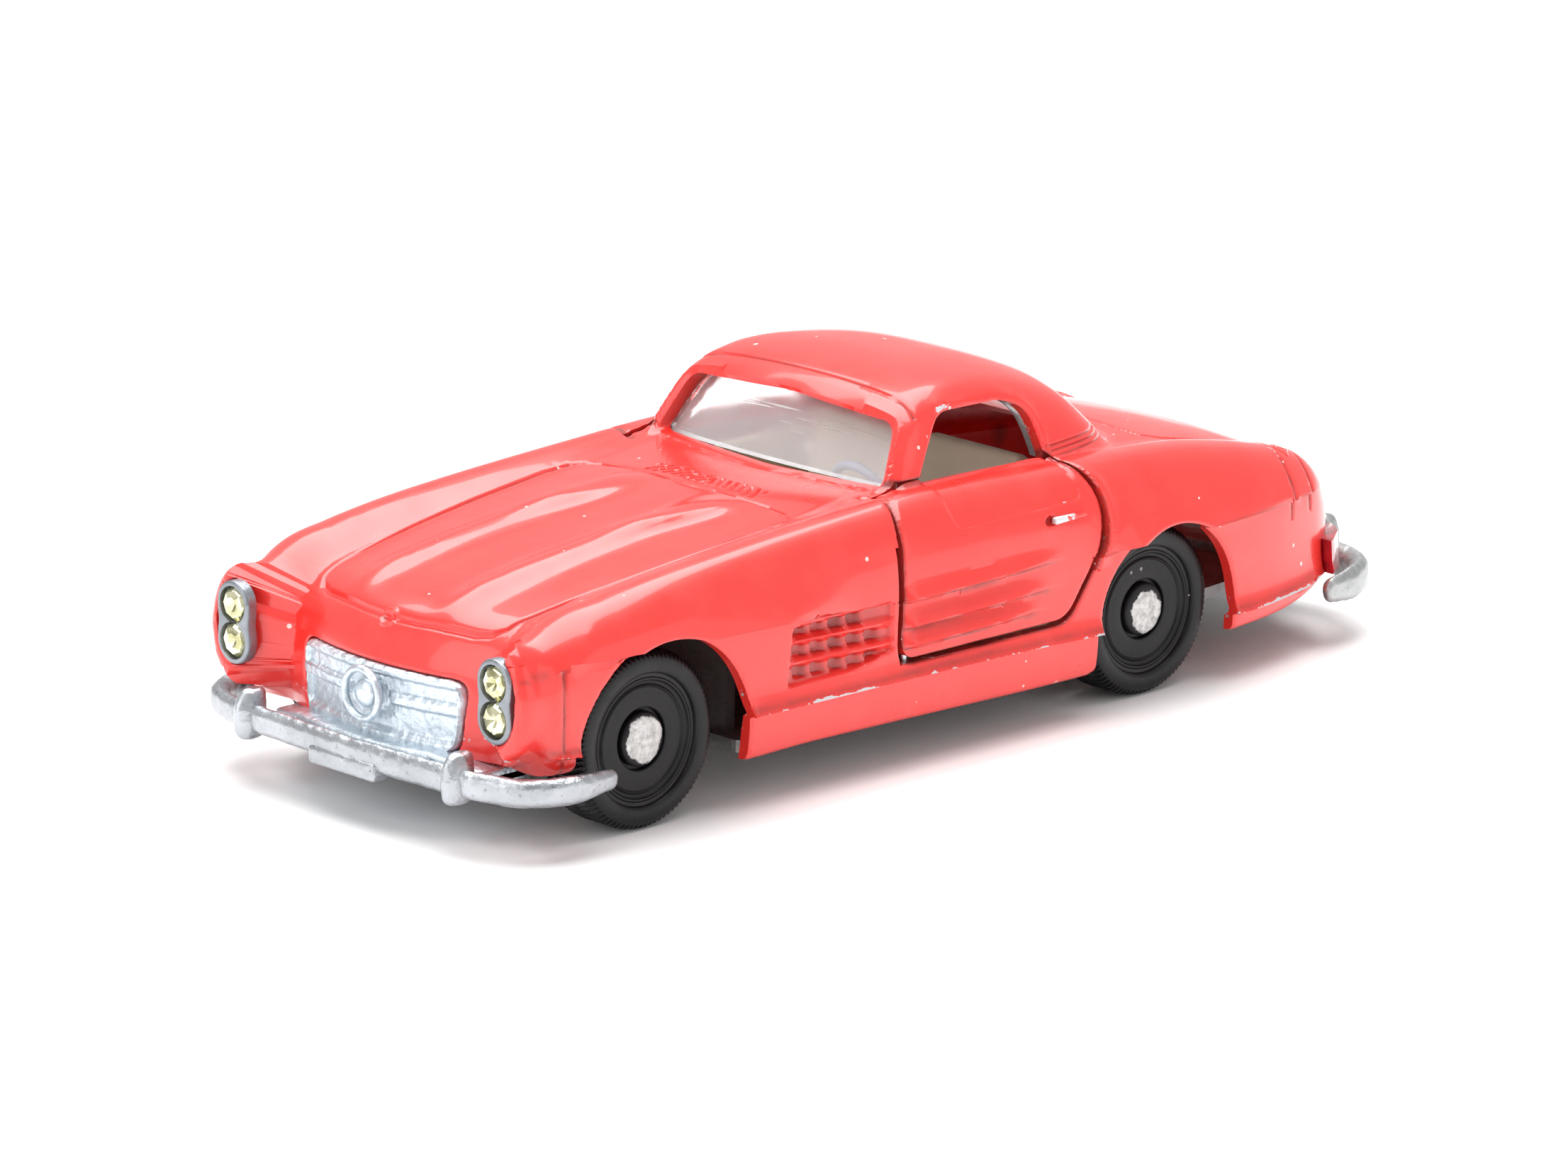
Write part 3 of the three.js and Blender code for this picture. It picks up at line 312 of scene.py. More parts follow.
DOOR_EDGE = door_outline(0)
WINDOW = rounded([(-4.6, 18.5), (-4.6, 21.6), (-0.9, 26.35), (6.4, 26.2), (8.9, 25.1),
                  (9.9, 21.2), (9.9, 18.5)], 1.2)
SCREEN = rounded([(-13.2, 21.1), (0, 20.75), (13.2, 21.1), (11.7, 25.9), (0, 26.5),
                  (-11.7, 25.9)], 1.2)
BACKLIGHT = rounded([(-9.8, 20.95), (9.8, 20.95), (8.2, 24.5), (-8.2, 24.5)], 1.2)
GRILLE = rounded([(-9.0, 6.3), (9.0, 6.3), (9.7, 12.4), (-9.7, 12.4)], 1.6)
ARCHES = [(AXLES["front"] + 0.55, TYRE_RADIUS + 1.7), (AXLES["rear"] + 0.35, TYRE_RADIUS + 1.0)]
ARCH_Z = TYRE_RADIUS - 0.45
ARCH_INNER = TYRE_FACE - TYRE_WIDTH - 1.2

HOOD = [(-47.97, 0), (-47.75, 3), (-47.3, 6), (-46.7, 8.6), (-46.1, 9.9), (-45.2, 10.7),
        (-43, 11.1), (-36, 11.7), (-28, 12.2), (-20, 12.6), (-17.5, 12.5), (-16.3, 11.9),
        (-15.75, 10.6), (-15.7, 6), (-15.9, 0)]
ROOF_SEAM = [(-3.2, 0), (-3.2, 6), (-3.3, 10), (-3.4, 12.6)]
BOOT = [(23.9, 0), (24, 5), (24.3, 8), (25.3, 10.1), (27, 10.8), (32, 11), (38, 10.6), (44, 9.8)]
TAIL_BANDS = [[(35.9, 11.2), (36.1, 15), (35.6, 19.5)], [(39.1, 10.8), (39.2, 14), (38.7, 18.6)]]
WING_SEAM = [(-46.3, 14.6), (-46.5, 12), (-46.45, 9), (-46.2, 6.2)]
VENT_PANEL = rounded([(-23.6, 9.1), (-22.9, 14.0), (-11.9, 14.2), (-11.9, 10.0), (-16, 9.2)], 0.5)
DOOR_SPEARS = [(13.9, 8.2), (11.75, 7.6), (10.15, 6.2)]
BADGE = (-48.42, 16.0)
HANDLE_CUP = (5.75, 17.4)
LOUVRE_PITCH = 1.95
INTAKE_X = -13.75


GROOVES = ("hood", "roof", "boot", "wing", "bands")


# ---------------------------------------------------------------- relief on the body
def rolled(distance, width=0.3, depth=0.16):
    """The drop of a rounded edge at a distance from its opening."""
    near = np.clip(1 - distance / width, 0, 1)
    return -depth * (1 - np.sqrt(np.maximum(1 - near * near, 0)))


def groove(distance, half_width, depth):
    return -depth * np.exp(-(distance / half_width) ** 2)


def opening_distances(x, y, z):
    """Distances from the edges of the openings, negative inside one, large on the other sides."""
    top = z > 18
    door = signed_distance(x, z, DOOR_EDGE)
    door = np.where(door > -DOOR_GAP / 2, np.maximum(door, 0), np.maximum(-door - DOOR_GAP, 0))
    arches = [only((z < 16) & (y > 12), np.hypot(x - cx, np.maximum(z - ARCH_Z, 0)) - r)
              for cx, r in ARCHES]
    lamp = np.hypot((y - LAMP_SIDE) / LAMP_HOLE[0], (z - LAMP_HEIGHT) / LAMP_HOLE[1])
    return {"door": only(y > 13.2, door),
            "window": only((y > 10) & top, signed_distance(x, z, WINDOW)),
            "screen": only((x < 1) & top, signed_distance(y, z, SCREEN)),
            "backlight": only((x > 12) & top, signed_distance(y, z, BACKLIGHT)),
            "grille": only(x < -44, signed_distance(y, z, GRILLE)),
            "front_arch": arches[0], "rear_arch": arches[1],
            "lamp": only(x < -49, (lamp - 1) * 2.4)}


def line_distances(x, y, z, up):
    body_top = up & (z < 21.6)
    bands = np.minimum(*[line_distance(x, y, band) for band in TAIL_BANDS])
    return {"hood": only(body_top & (x < -12), line_distance(x, y, HOOD)),
            "roof": only(up & (z > 24), line_distance(x, y, ROOF_SEAM)),
            "boot": only(body_top & (x > 20), line_distance(x, y, BOOT)),
            "wing": only(~up & (x < -40) & (z < 15), line_distance(x, z, WING_SEAM)),
            "bands": only((z > 12) & (x > 30), bands),
            "badge": np.sqrt((x - BADGE[0]) ** 2 + y ** 2 + (z - BADGE[1]) ** 2)}


def vent_relief(x, z):
    """The louvred panel behind the front wheel: a shallow recess, two ribs and rows of pockets."""
    edge = -signed_distance(x, z, VENT_PANEL)
    floor = -0.42 * ease(0.0, 0.35, edge)
    fall = 0.03 * (x + 23)
    ribs = np.zeros_like(x)
    for height in (12.75, 11.05):
        ribs = np.maximum(ribs, 0.5 * hill(z - (height - fall), 0.3))
    pockets = np.zeros_like(x)
    for height in (13.5, 11.9, 10.25):
        over = z - (height - fall)
        phase = (x + 22.9 + 0.25 * over) / LOUVRE_PITCH
        count = np.floor(phase)
        step = phase - count
        louvre = ease(0.12, 0.2, step) * ease(0.98, 0.6, step)
        shown = (count >= 0) & (count < 4 + (height < 13))
        pockets = np.maximum(pockets, on(shown, louvre * ease(0.62, 0.4, np.abs(over))))
    inner = ease(0.05, 0.4, edge)
    fade = ease(-11.0, -12.6, x)
    return floor + (ribs * fade * inner) - 0.5 * pockets * inner


def spear_offset(x, z, front_z):
    """Height over the lower edge of a door rib."""
    return z - front_z - 0.02 * (x + 11.5)


def cup_distance(x, z):
    return np.hypot((x - HANDLE_CUP[0]) / 0.62, (z - HANDLE_CUP[1]) / 0.42)


def spear_relief(x, z):
    """Long ribs along the door, sharp on their lower side and dying out to the rear."""
    total = np.zeros_like(x)
    for front_z, end in DOOR_SPEARS:
        t = np.clip((x + 11.5) / (end + 11.5), 0, 1)
        over = z - (front_z + 0.02 * (x + 11.5))
        profile = hill(over, np.where(over > 0, 0.75, 0.16))
        fade = (1 - ease(0.55, 1.0, t)) * ease(-11.3, -9.9, x)
        total = np.maximum(total, 0.6 * profile * fade)
    return total


def relief(x, y, z, normal):
    """How far the paint stands proud (+) or sinks (-) over the plain form."""
    up = normal[:, 2] > 0.45
    side = normal[:, 1] > 0.55
    edges = opening_distances(x, y, z)
    lines = line_distances(x, y, z, up)
    height = np.zeros_like(x)
    for name, away in edges.items():
        wide = 0.34 if name in ("front_arch", "rear_arch", "window") else 0.26
        height += rolled(np.maximum(away, 0), wide, 0.17)
    front = ease(-45.2, -46.6, x)
    height += groove(lines["hood"], 0.14 + 0.06 * front, 0.2 + 0.14 * front)
    height += groove(lines["roof"], 0.14, 0.16)
    height += groove(lines["boot"], 0.13, 0.13)
    height += groove(lines["wing"], 0.11, 0.12)
    height += groove(lines["bands"], 0.13, 0.15)
    ring = lines["badge"]
    height += 0.16 * hill(ring - 0.92, 0.13) + 0.14 * hill(ring, 0.42)
    height += on((x < 1) & (z > 19), 0.26 * hill(edges["screen"] - 0.55, 0.3))
    roof_rail = side & (z > 22) & (x > -1) & (x < 12)
    height += on(roof_rail, 0.14 * hill(edges["window"] - 0.5, 0.28))
    # a rolled collar round the lamp openings
    height += 0.2 * hill(edges["lamp"] - 0.75, 0.4)
    low_side = side & (z < 15)
    height += on(low_side & (x < -11.4), vent_relief(x, z))
    height += on(low_side & (x > -12.2) & (x < 9), spear_relief(x, z))
    # the rear wing starts with a raised bevel beside the door gap
    behind = (x > 9.5) & (z > 12.5) & (z < 21) & (y > 12)
    door = signed_distance(x, z, DOOR_EDGE)
    height += on(behind & (door > 0), 0.3 * ease(1.25, 0.55, door) * ease(21.0, 19.5, z))
    # slats of the air intake ahead of the windscreen
    slat = ((y + 0.55 * (x + 13.8)) / 0.86) % 1.0
    slats = ease(0.08, 0.25, slat) * ease(0.62, 0.45, slat)
    in_vent = ease(6.4, 6.1, y) * ease(1.0, 0.85, np.abs(x - INTAKE_X + 0.008 * y * y))
    height += on(up & (z < 22), -0.34 * slats * in_vent)
    # mouldings at the foot of the hard top's rear pillar
    foot = side & (x > 10.2) & (x < 20.5) & (z > 20.2) & (z < 23)
    for k in range(3):
        moulding = groove(z - 20.95 - 0.42 * k, 0.11, 0.12)
        height += on(foot, moulding * ease(10.2, 11, x) * ease(20.5, 17, x))
    # cup behind the door handle's front end
    height += on(side, -0.34 * ease(1.1, 0.6, cup_distance(x, z)))
    # a small lozenge on the rear wing
    lock = np.abs(x - 37.4) + np.abs(y - 14.6) * 0.9
    height += on(up, 0.1 * hill(lock - 0.75, 0.16))
    return height


def feature_distance(x, y, z, normal):
    """Distance from the nearest line or edge that needs a fine mesh."""
    up = normal[:, 2] > 0.35
    side = normal[:, 1] > 0.45
    edges = opening_distances(x, y, z)
    lines = line_distances(x, y, z, up)
    near = [only(away >= -0.3, np.abs(away)) for away in edges.values()]
    near += [lines[name] for name in GROOVES]
    near.append(np.maximum(lines["badge"] - 1.1, 0))
    near.append(only(side & (z < 16), np.maximum(signed_distance(x, z, VENT_PANEL), 0)))
    for front_z, end in DOOR_SPEARS:
        spear = np.abs(spear_offset(x, z, front_z))
        near.append(only(side & (x > -12.4) & (x < end), spear + 0.1))
    intake = np.maximum(np.abs(x - INTAKE_X) - 0.9, 0) + np.maximum(y - 6.2, 0)
    near.append(only(up & (z < 22), intake))
    cup = np.hypot(x - HANDLE_CUP[0], z - HANDLE_CUP[1]) - 0.5
    near.append(only(side, np.maximum(cup, 0)))
    near.append(only((x > 10) & (x < 20) & (z > 20.7) & (z < 22.1) & side, 0.3))
    lock = np.abs(x - 37.4) + np.abs(y - 14.6) - 0.9
    near.append(only(up, np.maximum(lock, 0)))
    return np.minimum.reduce(near)


# ---------------------------------------------------------------- the body as a closed skin
KEEL_FRONT, KEEL_REAR, KEEL_HEIGHT = -37.0, 33.0, 9.5
FAN_SHARE = 0.235
# how many rows of the skin lie between one aim of a section and the next; the ledges take two
ROWS = [3, 6, 5, 2, 6, 7, 2, 8, 7, 8, 6, 6, 16]
ROW_PLACES = np.concatenate([[0], np.cumsum(ROWS)])
LEDGES = [(ROW_PLACES[k] / ROW_PLACES[-1], ROW_PLACES[k + 1] / ROW_PLACES[-1])
          for k, rows in enumerate(ROWS) if rows == 2]


def rays(u, v):
    """Start and direction of the ray for each place (u along, v round) on the skin."""
    span = 1 - 2 * FAN_SHARE
    x = KEEL_FRONT + (KEEL_REAR - KEEL_FRONT) * np.clip((u - FAN_SHARE) / span, 0, 1)
    front = np.clip(1 - u / FAN_SHARE, 0, 1)
    rear = np.clip((u - 1 + FAN_SHARE) / FAN_SHARE, 0, 1)
    turn = math.pi / 2 * (front + rear)
    end = np.where(front > 0, -1.0, 1.0)
    at = x + 8 * end * np.sin(turn)
    flare, sill, side = flare_height(at), sill_height(at), side_line(at)
    crown, crown_y = crown_height(at), crown_line(at)
    zero = np.zeros_like(at)
    aims = [(zero, zero - 30), (side - 3, zero + 3), (side - 0.8, zero + 4.2),
            (side - 1, sill - 0.22),
            (side - 0.2, sill + 0.02), (side - 1, sill + 2.2), (side - 0.8, flare - 0.33),
            (side, flare + 0.02), (side - 0.6, flare + 3), (crown_y + 1.5, crown - 0.6),
            (crown_y - 1, crown), (zero + 11.6, crown - 0.6), (zero + 9, crown - 0.6),
            (zero, crown)]
    at_row = v * ROW_PLACES[-1]
    k = np.clip(np.searchsorted(ROW_PLACES, at_row, side="right") - 1, 0, len(aims) - 2)
    t = (at_row - ROW_PLACES[k]) / (ROW_PLACES[k + 1] - ROW_PLACES[k])
    column = np.arange(len(u))
    ys, zs = (np.array([aim[axis] for aim in aims]) for axis in (0, 1))
    aim_y = ys[k, column] * (1 - t) + ys[k + 1, column] * t
    aim_z = zs[k, column] * (1 - t) + zs[k + 1, column] * t - KEEL_HEIGHT
    lean = np.sin(turn) ** 2 * np.maximum(aim_z, 0) * np.clip(1 - aim_y / 14, 0, 1)
    direction = np.stack([end * (aim_y * np.sin(turn) + lean), aim_y * np.cos(turn), aim_z], 1)
    direction[np.abs(direction) < 1e-9] = 0
    direction /= np.linalg.norm(direction, axis=1)[:, None]
    return np.stack([x, zero, zero + KEEL_HEIGHT], 1), direction


def meet(start, direction, level, closed_below):
    """Where each ray leaves the body."""
    def field(r, rows):
        p = start[rows] + direction[rows] * r[:, None]
        return body_field(p[:, 0], np.abs(p[:, 1]), p[:, 2], level, closed_below)
    reach = np.full(len(start), 1.0)
    going = np.arange(len(start))
    while len(going) and reach.max() < 60:
        going = going[field(reach[going], going) <= 0]
        reach[going] += 0.7
    low, high = reach - 0.7, reach.copy()
    every = np.arange(len(start))
    for _ in range(16):
        half = (low + high) / 2
        within = field(half, every) <= 0
        low = np.where(within, half, low)
        high = np.where(within, high, half)
    return start + direction * low[:, None]


def outward(p, level, closed_below):
    """Unit normals of the body at points."""
    step = 0.02
    x, y, z = p[:, 0], np.abs(p[:, 1]), p[:, 2]
    here = body_field(x, y, z, level, closed_below)
    slope = np.stack([body_field(x + step, y, z, level, closed_below) - here,
                      body_field(x, y + step, z, level, closed_below) - here,
                      body_field(x, y, z + step, level, closed_below) - here], 1)
    return slope / np.maximum(np.linalg.norm(slope, axis=1)[:, None], 1e-12)


def grid_places(bm):
    flat = np.array([v.co for v in bm.verts])
    return (flat[:, 0] + 1) / 2, (flat[:, 1] + 1) / 2


def refine(bm, reach, smallest):
    """Divides the faces that lie near a feature."""
    u, v = grid_places(bm)
    start, direction = rays(u, v)
    points = meet(start, direction, 0, True)
    bm.verts.index_update()
    faces = list(bm.faces)
    corners = [[vert.index for vert in face.verts] for face in faces]
    centres = np.array([points[c].mean(0) for c in corners])
    sizes = np.array([np.ptp(points[c], axis=0).max() for c in corners])
    near = feature_distance(*centres.T, outward(centres, 0, True))
    chosen = (near < reach) & (sizes > smallest) & (centres[:, 2] > 4.5)
    mean_v = np.array([v[c].mean() for c in corners])
    for low, high in LEDGES:
        chosen &= (mean_v < low) | (mean_v > high)
    # a dict and not a set, so that the edges come in the same order at every run
    edges = dict.fromkeys(edge for face, wanted in zip(faces, chosen) if wanted
                          for edge in face.edges)
    bmesh.ops.subdivide_edges(bm, edges=list(edges), cuts=1, use_grid_fill=True)


def mirror_across(bm, merge=0.0008):
    bmesh.ops.mirror(bm, geom=bm.verts[:] + bm.edges[:] + bm.faces[:], axis="Y", merge_dist=merge)
    bmesh.ops.remove_doubles(bm, verts=bm.verts, dist=merge)
    bmesh.ops.dissolve_degenerate(bm, edges=bm.edges, dist=merge / 2)
    bmesh.ops.recalc_face_normals(bm, faces=bm.faces)


def skin(along, density, level, closed_below, detailed=False):
    bm = bmesh.new()
    bmesh.ops.create_grid(bm, x_segments=along, y_segments=int(ROW_PLACES[-1] * density), size=1)
    if detailed:
        refine(bm, 0.6, 0.3)
        refine(bm, 0.32, 0.16)
    u, v = grid_places(bm)
    start, direction = rays(u, v)
    points = meet(start, direction, level, closed_below)
    if detailed:
        normal = outward(points, level, closed_below)
        points = points + normal * relief(*points.T, normal)[:, None]
    on_middle = (np.abs(u) < 1e-6) | (np.abs(u - 1) < 1e-6) | (v < 1e-6) | (v > 1 - 1e-6)
    points[on_middle, 1] = 0
    for vert, place in zip(bm.verts, points):
        vert.co = place
    bmesh.ops.triangulate(bm, faces=[f for f in bm.faces if len(f.verts) > 4])
    mirror_across(bm)
    return bm


# ---------------------------------------------------------------- solids and cuts
def twin(bm):
    """Adds the same shape on the other side of the car."""
    bmesh.ops.mirror(bm, geom=bm.verts[:] + bm.edges[:] + bm.faces[:], axis="Y", merge_dist=-1)
    bmesh.ops.recalc_face_normals(bm, faces=bm.faces)


def to_side(bm, sign):
    """Leaves a right-hand shape as it is for +1, and turns it into the left-hand one for -1."""
    if sign < 0:
        bmesh.ops.scale(bm, vec=(1, -1, 1), verts=bm.verts)
        bmesh.ops.recalc_face_normals(bm, faces=bm.faces)


def prism(points, view, start, end, mirrored=False):
    """An outline drawn in side (x, z), front (y, z) or plan (x, y) view, given a depth."""
    place = {"side": lambda a, b: (a, start, b), "front": lambda a, b: (start, a, b),
             "plan": lambda a, b: (a, b, start)}[view]
    depth = {"side": (0, end - start, 0), "front": (end - start, 0, 0), "plan": (0, 0, end - start)}
    bm = bmesh.new()
    face = bm.faces.new([bm.verts.new(place(a, b)) for a, b in points])
    made = bmesh.ops.extrude_face_region(bm, geom=[face])["geom"]
    bmesh.ops.translate(bm, verts=[g for g in made if isinstance(g, bmesh.types.BMVert)],
                        vec=depth[view])
    bmesh.ops.recalc_face_normals(bm, faces=bm.faces)
    if mirrored:
        twin(bm)
    return bm


def block(x0, x1, y0, y1, z0, z1, round_by=0.0, segments=3, mirrored=False):
    bm = bmesh.new()
    bmesh.ops.create_cube(bm, size=1)
    bmesh.ops.scale(bm, vec=(x1 - x0, y1 - y0, z1 - z0), verts=bm.verts)
    bmesh.ops.translate(bm, vec=((x0 + x1) / 2, (y0 + y1) / 2, (z0 + z1) / 2), verts=bm.verts)
    if round_by:
        bevel(bm, bm.edges[:], round_by, segments)
    if mirrored:
        twin(bm)
    return bm


def bevel(bm, edges, width, segments=3):
    bmesh.ops.bevel(bm, geom=edges, offset=width, offset_type="OFFSET", segments=segments,
                    profile=0.5, affect="EDGES", clamp_overlap=True, material=-1)


def sharp_edges(bm, degrees=40):
    return [e for e in bm.edges if len(e.link_faces) == 2
            and e.calc_face_angle(0) > math.radians(degrees)]


def scratch(bm, name="cutter"):
    """A helper object that only shapes others."""
    mesh = bpy.data.meshes.new(name)
    bm.to_mesh(mesh)
    bm.free()
    thing = bpy.data.objects.new(name, mesh)
    bpy.context.scene.collection.objects.link(thing)
    return thing


def discard(*things):
    for thing in things:
        bpy.data.objects.remove(thing)


def carve(base, *steps):
    """Applies (operation, tool) cuts to a copy of base and returns the result as a bmesh."""
    work = bpy.data.objects.new("work", base.data.copy())
    bpy.context.scene.collection.objects.link(work)
    for operation, tool in steps:
        cut = work.modifiers.new("cut", "BOOLEAN")
        cut.operation = operation
        cut.solver = "MANIFOLD"
        cut.object = tool
    bpy.context.view_layer.update()
    shown = work.evaluated_get(bpy.context.evaluated_depsgraph_get())
    bm = bmesh.new()
    bm.from_mesh(shown.to_mesh())
    shown.to_mesh_clear()
    discard(work)
    return bm


def largest_part(bm):
    """Keeps the part of a mesh with the most faces."""
    left = set(bm.faces)
    best = []
    while left:
        found = [left.pop()]
        for face in found:
            for edge in face.edges:
                for other in edge.link_faces:
                    if other in left:
                        left.remove(other)
                        found.append(other)
        if len(found) > len(best):
            best = found
    keep = set(best)
    bmesh.ops.delete(bm, geom=[f for f in bm.faces if f not in keep], context="FACES")


def place_grid(along, around, where, closed=True):
    """A grid whose places (s, t), both 0 to 1, are carried to where(s, t), and its seams closed."""
    bm = bmesh.new()
    bmesh.ops.create_grid(bm, x_segments=along, y_segments=around, size=1)
    for vert in bm.verts:
        vert.co = where((vert.co.x + 1) / 2, (vert.co.y + 1) / 2)
    if closed:
        bmesh.ops.remove_doubles(bm, verts=bm.verts, dist=1e-3)
    bmesh.ops.recalc_face_normals(bm, faces=bm.faces)
    return bm


def close_holes(bm):
    bmesh.ops.holes_fill(bm, edges=[e for e in bm.edges if e.is_boundary], sides=0)
    bmesh.ops.recalc_face_normals(bm, faces=bm.faces)


def lathe(profile, axle_x, side, steps):
    """Turns a profile of (radius, y) points round the axle; side is +1 right, -1 left."""
    bm = bmesh.new()
    verts = [bm.verts.new((axle_x + radius, y, AXLE_Z)) for radius, y in profile]
    edges = [bm.edges.new(pair) for pair in zip(verts, verts[1:])]
    bmesh.ops.spin(bm, geom=verts + edges, cent=(axle_x, 0, AXLE_Z), axis=(0, 1, 0),
                   angle=2 * math.pi, steps=steps, use_merge=True)
    bmesh.ops.remove_doubles(bm, verts=bm.verts, dist=1e-3)
    if side < 0:
        bmesh.ops.scale(bm, vec=(1, -1, 1), verts=bm.verts)
    bmesh.ops.recalc_face_normals(bm, faces=bm.faces)
    return bm


def joined(*parts):
    bm = bmesh.new()
    for part in parts:
        mesh = bpy.data.meshes.new("part")
        part.to_mesh(mesh)
        part.free()
        bm.from_mesh(mesh)
        bpy.data.meshes.remove(mesh)
    return bm


def piece(name, bm, material, body, replaces=(), smooth=38):
    """Makes the finished object, in metres in the CAD frame, and lets it ride on its body."""
    bmesh.ops.translate(bm, vec=(SHIFT, 0, 0), verts=bm.verts)
    bmesh.ops.scale(bm, vec=(MM, MM, MM), verts=bm.verts)
    mesh = bpy.data.meshes.new(name)
    bm.to_mesh(mesh)
    bm.free()
    mesh.materials.append(material)
    if smooth:
        mesh.shade_smooth()
        mesh.set_sharp_from_angle(angle=math.radians(smooth))
    thing = bpy.data.objects.new(name, mesh)
    bpy.context.scene.collection.objects.link(thing)
    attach(thing, body)
    if replaces:
        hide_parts(*replaces)
    return thing


# ---------------------------------------------------------------- shared surface effects
class Graph:
    """Adds nodes to a tree; an input is a socket to link or a value to set."""

    def __init__(self, tree, shader=None):
        self.tree = tree
        self.shader = shader

    def feed(self, socket, value):
        if isinstance(value, bpy.types.NodeSocket):
            self.tree.links.new(value, socket)
        else:
            socket.default_value = value

    def add(self, kind, inputs=None, **settings):
        made = self.tree.nodes.new("ShaderNode" + kind)
        for key, value in settings.items():
            setattr(made, key, value)
        for key, value in (inputs or {}).items():
            self.feed(made.inputs[key], value)
        return made

    def group(self, tree, **inputs):
        made = self.add("Group", node_tree=tree)
        for key, value in inputs.items():
            self.feed(made.inputs[key], value)
        return made.outputs

    def noise(self, vector, scale, detail=3.0, rough=0.55):
        return self.add("TexNoise", {"Vector": vector, "Scale": scale, "Detail": detail,
                                     "Roughness": rough}).outputs["Fac"]

    def ramp(self, value, low, high, start=0.0, end=1.0):
        return self.add("MapRange", {"Value": value, "From Min": low, "From Max": high,
                                     "To Min": start, "To Max": end}).outputs["Result"]

    def math(self, operation, a, b=0.0):
        return self.add("Math", {0: a, 1: b}, operation=operation).outputs[0]

    def times(self, a, b):
        return self.math("MULTIPLY", a, b)

    def larger(self, a, b):
        return self.math("MAXIMUM", a, b)

    def mix(self, factor, a, b):
        return self.add("Mix", {0: factor, 6: a, 7: b}, data_type="RGBA").outputs[2]

    def bump(self, height, distance, strength=1.0):
        made = self.add("Bump", {"Height": height, "Distance": distance, "Strength": strength})
        self.feed(self.shader.inputs["Normal"], made.outputs[0])

    def drive(self, **inputs):
        """Links or sets sockets of the material's Principled shader."""
        for key, value in inputs.items():
            self.feed(self.shader.inputs[key.replace("_", " ")], value)


def new_group(name, outputs, **values):
    """A node group with a Vector input and some numbers; returns it, its graph and its inputs."""
    tree = bpy.data.node_groups.new(name, "ShaderNodeTree")
    tree.interface.new_socket(name="Vector", in_out="INPUT", socket_type="NodeSocketVector")
    for label, value in values.items():
        socket = tree.interface.new_socket(name=label, in_out="INPUT",
                                           socket_type="NodeSocketFloat")
        socket.default_value = value
    for label in outputs:
        tree.interface.new_socket(name=label, in_out="OUTPUT", socket_type="NodeSocketFloat")
    start = tree.nodes.new("NodeGroupInput").outputs
    return tree, Graph(tree), [start[label] for label in ("Vector", *values)]


def group_output(tree, **links):
    end = tree.nodes.new("NodeGroupOutput")
    for label, socket in links.items():
        tree.links.new(socket, end.inputs[label])
    return tree


def dust_group():
    """Sparse pale specks and a faint cloudy film."""
    tree, g, (vector, scale, amount) = new_group("dust", ["Mask"], Scale=900.0, Amount=0.3)
    cells = g.add("TexVoronoi", {"Vector": vector, "Scale": scale, "Randomness": 1.0})
    pick = g.add("SeparateColor", {"Color": cells.outputs["Color"]})
    radius = g.times(pick.outputs[1], 0.16)
    dot = g.math("LESS_THAN", cells.outputs["Distance"], radius)
    rare = g.math("LESS_THAN", pick.outputs[0], amount)
    film = g.times(g.ramp(g.noise(vector, 260.0, 4.0), 0.5, 0.8), 0.25)
    return group_output(tree, Mask=g.larger(g.times(dot, rare), g.times(film, amount)))


def chips_group():
    """Ragged patches where the coat has gone, more of them where the wear value is high."""
    tree, g, (vector, wear, scale) = new_group("chips", ["Mask", "Edge"], Wear=0.0, Scale=900.0)
    limit = g.ramp(wear, 0.0, 1.0, 0.86, 0.36)
    over = g.math("SUBTRACT", g.noise(vector, scale, 5.0, 0.68), limit)
    return group_output(tree, Mask=g.ramp(over, 0.0, 0.012), Edge=g.ramp(over, -0.03, 0.03))


def grain_group():
    """The hammered, pitted skin of a rough casting."""
    tree, g, (vector, scale) = new_group("casting_grain", ["Height", "Pits"], Scale=1200.0)
    lumps = g.noise(vector, scale, 5.0, 0.6)
    cells = g.add("TexVoronoi", {"Vector": vector, "Scale": scale, "Randomness": 1.0},
                  feature="SMOOTH_F1")
    height = g.math("ADD", g.times(lumps, 0.7), g.times(cells.outputs["Distance"], 0.5))
    fine = g.noise(vector, 2600.0, 3.0, 0.7)
    pits = g.times(g.ramp(fine, 0.42, 0.3), g.ramp(lumps, 0.62, 0.38))
    return group_output(tree, Height=height, Pits=pits)


def scratches_group():
    """Fine hairlines that run in many directions."""
    tree, g, (vector, scale) = new_group("scratches", ["Mask"], Scale=300.0)
    total = None
    for turn in (0.4, 1.7, 2.6):
        turned = g.add("Mapping", {"Vector": vector, "Rotation": (turn, turn * 1.3, turn),
                                   "Scale": (1.0, 0.03, 1.0)})
        line = g.ramp(g.noise(turned.outputs[0], g.times(scale, 9.0), 2.0), 0.70, 0.74)
        total = line if total is None else g.larger(total, line)
    return group_output(tree, Mask=total)


DUST, CHIPS, GRAIN, SCRATCHES = dust_group(), chips_group(), grain_group(), scratches_group()


def new_material(name, **values):
    """A Principled material with plain values on its sockets; returns it, its graph and coords."""
    material = bpy.data.materials.new(name)
    material.use_nodes = True
    tree = material.node_tree
    graph = Graph(tree, tree.nodes["Principled BSDF"])
    graph.drive(**values)
    return material, graph, graph.add("TexCoord").outputs["Object"]


RED = (0.86, 0.036, 0.028, 1)
RED_DEEP = (0.80, 0.028, 0.022, 1)
# dark red for painted shade with grime in grooves, gaps and recesses and under ledges and ribs
PAINTED_SHADE_AND_GRIME = (0.11, 0.018, 0.014, 1)
BARE = (0.70, 0.70, 0.72, 1)
SPECK = (0.95, 0.62, 0.58, 1)


